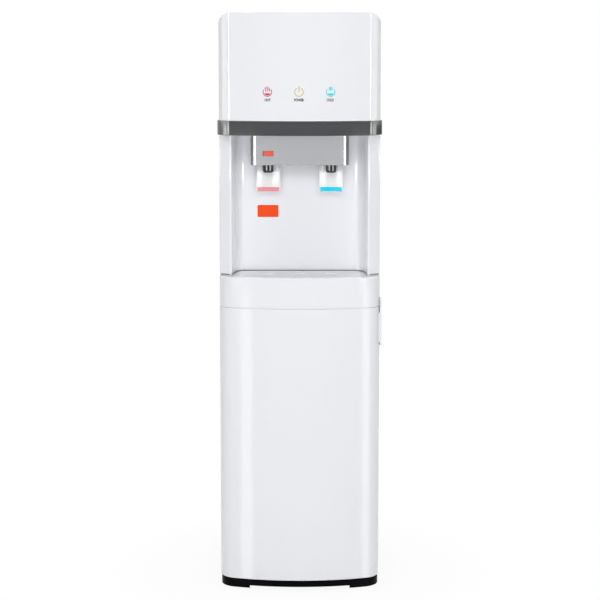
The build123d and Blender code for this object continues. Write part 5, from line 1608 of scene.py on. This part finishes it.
# ---- Back ----
@dataclass
class Back(SubAssembly):
    """Condenser, louvres and screws at the back."""

    depth: float = 167.0
    reach: float = 122.0
    pitch: float = 60.0
    bottom: float = 128.0
    runs: int = 9
    tube: float = 2.5
    wire: float = 0.8
    wire_gap: float = 3.35
    wire_pitch: float = 15.0
    wire_count: int = 12
    wire_low: float = 118.0
    wire_high: float = 618.0
    panel_y: float = 152.0
    louvre_pitch: Point2 = (104.0, 12.0)
    louvre_rows: int = 9
    louvre_middle: float = 830.0
    louvre_width: float = 84.0
    louvre_top: float = 5.1
    louvre_drop: float = 6.3936
    louvre_taper: float = 1.2
    louvre_end: float = 5.0
    louvre_lap: float = 0.2
    louvre_proud: float = 3.2
    louvre_sheet: float = 0.8
    louvre_sink: float = 0.05
    screw_x: float = 146.0
    screw_heights: tuple[float, ...] = (40.0, 240.0, 450.0, 690.0, 860.0, 1020.0)
    screw: tuple[Point2, ...] = (
        (0.0, 1.2), (1.5, 1.2), (1.7, -1.0), (2.0, -1.75), (2.6, -1.9), (3.2, -1.5), (3.6, -0.7), (3.6, 0.3),
        (0.0, 0.3),
    )  # fmt: skip

    def condenser(self) -> None:
        """Serpentine tube between two rows of upright wires."""
        seed = bpy.data.meshes.new("route")
        heights = [self.bottom + self.pitch * i for i in range(self.runs) for _ in (0, 1)]
        sides = [-1, 1, 1, -1] * self.runs
        points = [Vector((side * self.reach, self.depth, z)) * MM for side, z in zip(sides, heights)]
        seed.from_pydata(points, [(i, i + 1) for i in range(len(points) - 1)], [])
        inputs = {
            "Bend Radius": ("NodeSocketFloat", self.pitch / 2 * MM),
            "Tube Radius": ("NodeSocketFloat", self.tube * MM),
            "Wire Radius": ("NodeSocketFloat", self.wire * MM),
            "Wire Count": ("NodeSocketInt", self.wire_count),
            "Wire Pitch": ("NodeSocketFloat", self.wire_pitch * MM),
            "Wire Length": ("NodeSocketFloat", (self.wire_high - self.wire_low) * MM),
        }
        p = Pattern("condenser", inputs)
        given = p.inputs
        bends = {"Curve": p.made("MeshToCurve", Mesh=given["Geometry"]), "Radius": given["Bend Radius"]}
        sockets = {**bends, "Count": 14, "Limit Radius": True}
        curve = p.node("GeometryNodeFilletCurve", {"mode": "POLY"}, sockets).outputs[0]
        circle = p.made("CurvePrimitiveCircle", Resolution=16, Radius=given["Tube Radius"])
        rod = p.made("MeshCylinder", Vertices=8, Radius=given["Wire Radius"], Depth=given["Wire Length"])
        left = (Val(p, given["Wire Count"]) - 1) * Val(p, given["Wire Pitch"]) * -0.5
        across = {"Count": given["Wire Count"], "Offset": p.vector(given["Wire Pitch"])}
        both = p.node("GeometryNodeJoinGeometry")
        p.feed(both.inputs[0], p.made("CurveToMesh", Curve=curve, Profile_Curve=circle, Fill_Caps=True))
        for gap in (-self.wire_gap, self.wire_gap):
            start = p.vector(left, (self.depth + gap) * MM, (self.wire_low + self.wire_high) / 2 * MM)
            line = p.made("MeshLine", Start_Location=start, **across)
            p.feed(both.inputs[0], p.made("InstanceOnPoints", Points=line, Instance=rod))
        mesh = p.run(seed, both.outputs[0], self.shop.paints.by_slot["enamel_black"])
        self.shop.piece("condenser_core", mesh, "enamel_black", "condenser", smooth=40)

    def hood(self) -> Mesh:
        """One pressed louvre hood, about its own middle.

        Returns:
            The hood.
        """
        rows = []
        for turn in [math.pi / 2 * i / 6 for i in range(7)]:
            z = self.louvre_top - self.louvre_drop * math.sin(turn)
            half = self.louvre_width / 2 - self.louvre_taper * (1 - math.cos(turn))
            proud = self.louvre_proud * math.sin(turn)
            row = []
            for x in [half * k / 12 for k in range(-12, 13)]:
                full = min(1.0, (half - abs(x)) / self.louvre_end)
                row.append((x, proud * math.sin(full * math.pi / 2), z + (1 - full) * self.louvre_lap))
            rows.append(row)
        shell = Sheath()
        shell.rows(rows)
        return self.shop.walled(shell.mesh("hood", facing=(0, 1, 0.2)), self.louvre_sheet)

    def repeated(self, name: str, item: Mesh, spots: Sequence[Point3], slot: str, smooth: float) -> None:
        """Make a piece of one item on every spot.

        Args:
            name: The piece's name.
            item: What is repeated, about its own middle.
            spots: Where it goes.
            slot: The slot of its finish.
            smooth: Folds under this angle, in degrees, are shaded smooth.
        """
        holder = placed(name + "_item", item)
        seed = bpy.data.meshes.new(name + "_spots")
        seed.from_pydata([Vector(s) * MM for s in spots], [], [])
        p = Pattern(name, {"Item": ("NodeSocketObject", holder), "Size": ("NodeSocketFloat", 1.0)})
        shape = p.node("GeometryNodeObjectInfo", None, {"Object": p.inputs["Item"]}).outputs["Geometry"]
        points = p.made("MeshToPoints", Mesh=p.inputs["Geometry"])
        size = p.vector(*[p.inputs["Size"]] * 3)
        result = p.made("InstanceOnPoints", Points=points, Instance=shape, Scale=size)
        mesh = p.run(seed, result, self.shop.paints.by_slot[slot])
        bpy.data.objects.remove(holder)
        self.shop.piece(name, mesh, slot, smooth=smooth)

    def louvres(self) -> None:
        """Hoods over the slots of the rear panel."""
        across, up = self.louvre_pitch
        lowest = self.louvre_middle - up * (self.louvre_rows - 1) / 2
        heights = [lowest + up * row for row in range(self.louvre_rows)]
        spots = [(side * across / 2, self.panel_y - self.louvre_sink, z) for z in heights for side in (-1, 1)]
        self.repeated("louvre_hoods", self.hood(), spots, "zinc_sheet", smooth=50)

    def screws(self) -> None:
        """Pan-head screws round the rear panel."""
        head = Sheath()
        head.lathe((0, 0, 0), self.screw, steps=20, upright=False)
        spots = [(side * self.screw_x, self.panel_y, z) for side in (-1, 1) for z in self.screw_heights]
        self.repeated("rear_screws", head.mesh("screw"), spots, "spring_steel", smooth=40)

    def build(self) -> None:
        """Make all of it."""
        self.condenser()
        self.louvres()
        self.screws()


# ---- Studio ----
@dataclass
class Studio:
    """White sweep, soft light and the camera."""

    distance: float = 3.400
    height: float = 1.0201
    pitch: float = 7.248
    focal: float = 1729.83
    centre: Point2 = (299.7, 276.0)
    frame_side: float = 600.0
    film: float = 36.0
    world: float = 0.185
    glow: float = 0.92
    # Between these distances from the object, the floor's glow comes up to full: painted shade lies nearer
    # in.
    shadow_near: float = 0.2
    shadow_far: float = 0.42
    floor_white: Colour = (0.9, 0.9, 0.9)
    floor_reach: float = 14.0
    box_reach: float = 3.0
    lamps: tuple[tuple[str, Point3, Point3, Point2, float], ...] = (
        ("high_light", (0.0, -2.9, 2.2), (0.0, 0.0, 0.65), (2.4, 1.0), 29.0),
        ("low_light", (0.0, -3.6, 0.72), (0.0, 0.0, 0.6), (2.4, 1.2), 35.5),
        ("left_light", (-3.15, -1.27, 1.2), (0.0, 0.0, 0.7), (1.6, 2.2), 12.6),
        ("right_light", (3.15, -1.27, 1.2), (0.0, 0.0, 0.7), (1.6, 2.2), 12.6),
        ("left_rear_light", (-2.9, 1.8, 1.3), (0.0, 0.0, 0.6), (1.6, 2.2), 13.0),
        ("right_rear_light", (2.9, 1.8, 1.3), (0.0, 0.0, 0.6), (1.6, 2.2), 13.0),
        ("crown_light", (0.0, 0.7, 3.4), (0.0, 0.0, 1.1), (2.0, 1.6), 34.0),
    )
    top_box: tuple[str, Point3, Point3, Point2, float] = (
        "top_box", (0.0, -0.9, 3.2), (0.0, -0.3, 1.0), (3.0, 1.6), 110.0,
    )  # fmt: skip
    boxes: tuple[tuple[str, float, float, float, float, float], ...] = (
        ("left_head", -46.0, -86.0, 0.79, 2.2, 9.0),
        ("right_head", 48.0, 86.0, 0.79, 2.2, 9.0),
        ("left_dark", -88.0, -108.0, 0.787, 3.0, 0.0),
        ("right_dark", 88.0, 108.0, 0.787, 3.0, 0.0),
        ("left_facet", -108.0, -125.0, 0.787, 3.0, 2.6),
        ("right_facet", 108.0, 125.0, 0.787, 3.0, 2.5),
        ("left_shade", -125.0, -150.0, 0.787, 3.0, 1.0),
        ("right_shade", 125.0, 150.0, 0.787, 3.0, 1.0),
        ("left_band_front", -42.0, -60.0, 0.72, 0.79, 24.0),
        ("left_band_edge", -71.0, -84.0, 0.72, 0.79, 26.0),
        ("right_band_front", 44.0, 62.0, 0.72, 0.79, 24.0),
        ("right_band_edge", 73.0, 84.0, 0.72, 0.79, 26.0),
        ("left_band_dark", -84.0, -107.0, 0.69, 0.787, 0.0),
        ("left_band_ridge", -107.0, -115.0, 0.69, 0.787, 6.0),
        ("left_band_side", -115.0, -120.0, 0.69, 0.787, 3.0),
        ("left_band_end", -120.0, -150.0, 0.69, 0.787, 0.9),
        ("right_band_dark", 84.0, 108.0, 0.69, 0.787, 0.0),
        ("right_band_ridge", 108.0, 115.0, 0.69, 0.787, 5.0),
        ("right_band_side", 115.0, 120.0, 0.69, 0.787, 2.1),
        ("right_band_end", 120.0, 150.0, 0.69, 0.787, 0.2),
        ("left_tap", -24.0, -46.0, 0.575, 0.64, 20.0),
        ("right_tap", 28.0, 50.0, 0.575, 0.64, 20.0),
        ("tap_dark", -18.0, 22.0, 0.575, 0.645, 0.0),
        ("left_plate", -78.0, -108.0, 0.6, 0.7, 10.0),
        ("right_plate", 78.0, 108.0, 0.6, 0.7, 10.0),
        ("left_column", -32.0, -38.0, 0.24, 0.5, 7.0),
        ("right_column", 32.0, 38.0, 0.24, 0.5, 7.0),
        ("left_alcove", -4.5, -6.5, 0.24, 0.5, 4.0),
        ("right_alcove", 6.0, 8.0, 0.24, 0.5, 4.0),
        ("left_door", -26.0, -32.5, -2.4, 0.2, 3.2),
        ("right_door", 34.5, 59.0, -2.4, 0.2, 3.2),
    )

    def camera(self) -> None:
        """Place the camera where the photograph was taken from."""
        lens = bpy.data.cameras.new("camera")
        lens.sensor_width = self.film
        lens.lens = self.focal / self.frame_side * self.film
        lens.shift_x = (self.frame_side / 2 - self.centre[0]) / self.frame_side
        lens.shift_y = (self.centre[1] - self.frame_side / 2) / self.frame_side
        obj = placed("camera", lens)
        obj.location = (0, -self.distance, self.height)
        obj.rotation_euler = (math.radians(90 - self.pitch), 0, 0)
        bpy.context.scene.camera = obj

    @staticmethod
    def seen(tree: Tree) -> Val:
        """Tell apart the rays that show a background: from the camera, in a gloss or through a clear piece.

        Args:
            tree: The background's tree.

        Returns:
            1 for these rays, and 0 for those that only bring light.
        """
        rays = tree.node("ShaderNodeLightPath").outputs
        total = Val(tree, rays["Is Camera Ray"]) + Val(tree, rays["Is Glossy Ray"])
        return (total + Val(tree, rays["Is Transmission Ray"])).clamped()

    def sky(self) -> None:
        """A white surround, which lights the object more softly than it shows."""
        world = bpy.data.worlds.new("surround")
        world.use_nodes = True
        tree = Tree(world.node_tree)
        lit, shown = (
            tree.node("ShaderNodeBackground", None, {0: (1.0, 1.0, 1.0), 1: strength}).outputs[0]
            for strength in (self.world, 1.0)
        )
        mix = tree.node("ShaderNodeMixShader", None, {0: self.seen(tree), 1: lit, 2: shown})
        tree.feed(world.node_tree.nodes["World Output"].inputs[0], mix.outputs[0])
        bpy.context.scene.world = world

    @staticmethod
    def stand(
        name: str, points: Sequence[Point3], quads: Sequence[Sequence[int]], r: Recipe
    ) -> Object:
        """Add a thing of the studio, which isn't a part of the cooler.

        Args:
            name: Its name.
            points: Its corners.
            quads: Its faces.
            r: Its material's recipe.

        Returns:
            The object.
        """
        mesh = bpy.data.meshes.new(name)
        mesh.from_pydata(points, [], quads)
        mesh.materials.append(r.material)
        obj = placed(name, mesh)
        return obj

    def floor(self) -> None:
        """A white floor that keeps the object's shadow, and has painted shade round the object, where its
        glow is turned down.
        """
        r = Recipe("floor_white")
        r.finish(base_color=self.floor_white, roughness=0.9, specular_ior_level=0.0)
        x, y = r.share(r.place, 0), r.share(r.place, 1)
        # The glow is weaker near the object, so the floor there is darker even where no shadow falls: real
        # shadow plus painted shade.
        away = ((x * x + y * y) ** 0.5 - self.shadow_near) / (self.shadow_far - self.shadow_near)
        seen = self.seen(r) * (self.glow + (1 - self.glow) * away.clamped())
        shaders = {1: r.shader.outputs[0], 2: r.glow(1.0).outputs[0]}
        r.ends_in(r.node("ShaderNodeMixShader", None, {0: seen, **shaders}))
        reach = self.floor_reach
        corners = [(x * reach, y * reach, 0.0) for x, y in ((-1, -1), (1, -1), (1, 1), (-1, 1))]
        self.stand("floor", corners, [(0, 1, 2, 3)], r).visible_glossy = False

    def light_box(
        self, name: str, start: float, end: float, low: float, high: float, strength: float
    ) -> None:
        """A tall curved light box or dark card beside the object, which only shows in reflections.

        Args:
            name: Its name.
            start: Where it begins, in degrees from the camera round the object, to the right.
            end: Where it ends.
            low: Its lower edge. Below the floor it shows on the lowest covers, as the floor isn't reflected.
            high: Its upper edge.
            strength: How bright it is.
        """
        r = Recipe(name)
        r.ends_in(r.glow(strength))
        line = arc((0.0, 0.0), self.box_reach, math.radians(start - 90), math.radians(end - 90), steps=12)
        count = len(line)
        quads = [(i, i + 1, i + 1 + count, i + count) for i in range(count - 1)]
        obj = self.stand(name, [(x, y, z) for z in (low, high) for x, y in line], quads, r)
        obj.visible_camera = obj.visible_diffuse = obj.visible_transmission = obj.visible_shadow = False

    @staticmethod
    def lamp(name: str, place: Point3, aim: Point3, size: Point2, watts: float, shown: bool = False) -> None:
        """A soft rectangular lamp, which isn't seen by the camera.

        Args:
            name: Its name.
            place: Where it stands.
            aim: The point that it faces.
            size: Its width and height.
            watts: Its power.
            shown: Whether it shows in reflections and lights nothing, and not the other way round.
        """
        light = bpy.data.lights.new(name, "AREA")
        light.shape = "RECTANGLE"
        light.size, light.size_y = size
        light.energy = watts
        obj = placed(name, light)
        obj.location = place
        obj.rotation_euler = (Vector(aim) - Vector(place)).to_track_quat("-Z", "Y").to_euler()
        obj.visible_camera = False
        obj.visible_glossy = shown
        obj.visible_diffuse = not shown

    def build(self) -> None:
        """Set everything up."""
        self.camera()
        self.sky()
        self.floor()
        for lamp in self.lamps:
            self.lamp(*lamp)
        for box in self.boxes:
            self.light_box(*box)
        self.lamp(*self.top_box, shown=True)
        bpy.context.scene.view_settings.view_transform = "Standard"


def main() -> None:
    """Build the looks of the cooler round its frame."""
    Studio().build()
    paints = Paints()
    paints.dress_nodes(frame["record"], frame["nodes"])
    shop = Workshop(paints)
    for part in (Head, SignRow, Alcove, TrayArea, Door, Back):
        part(shop).build()
    log.info("%d pieces", shop.count)


if __name__ == "__main__":
    main()
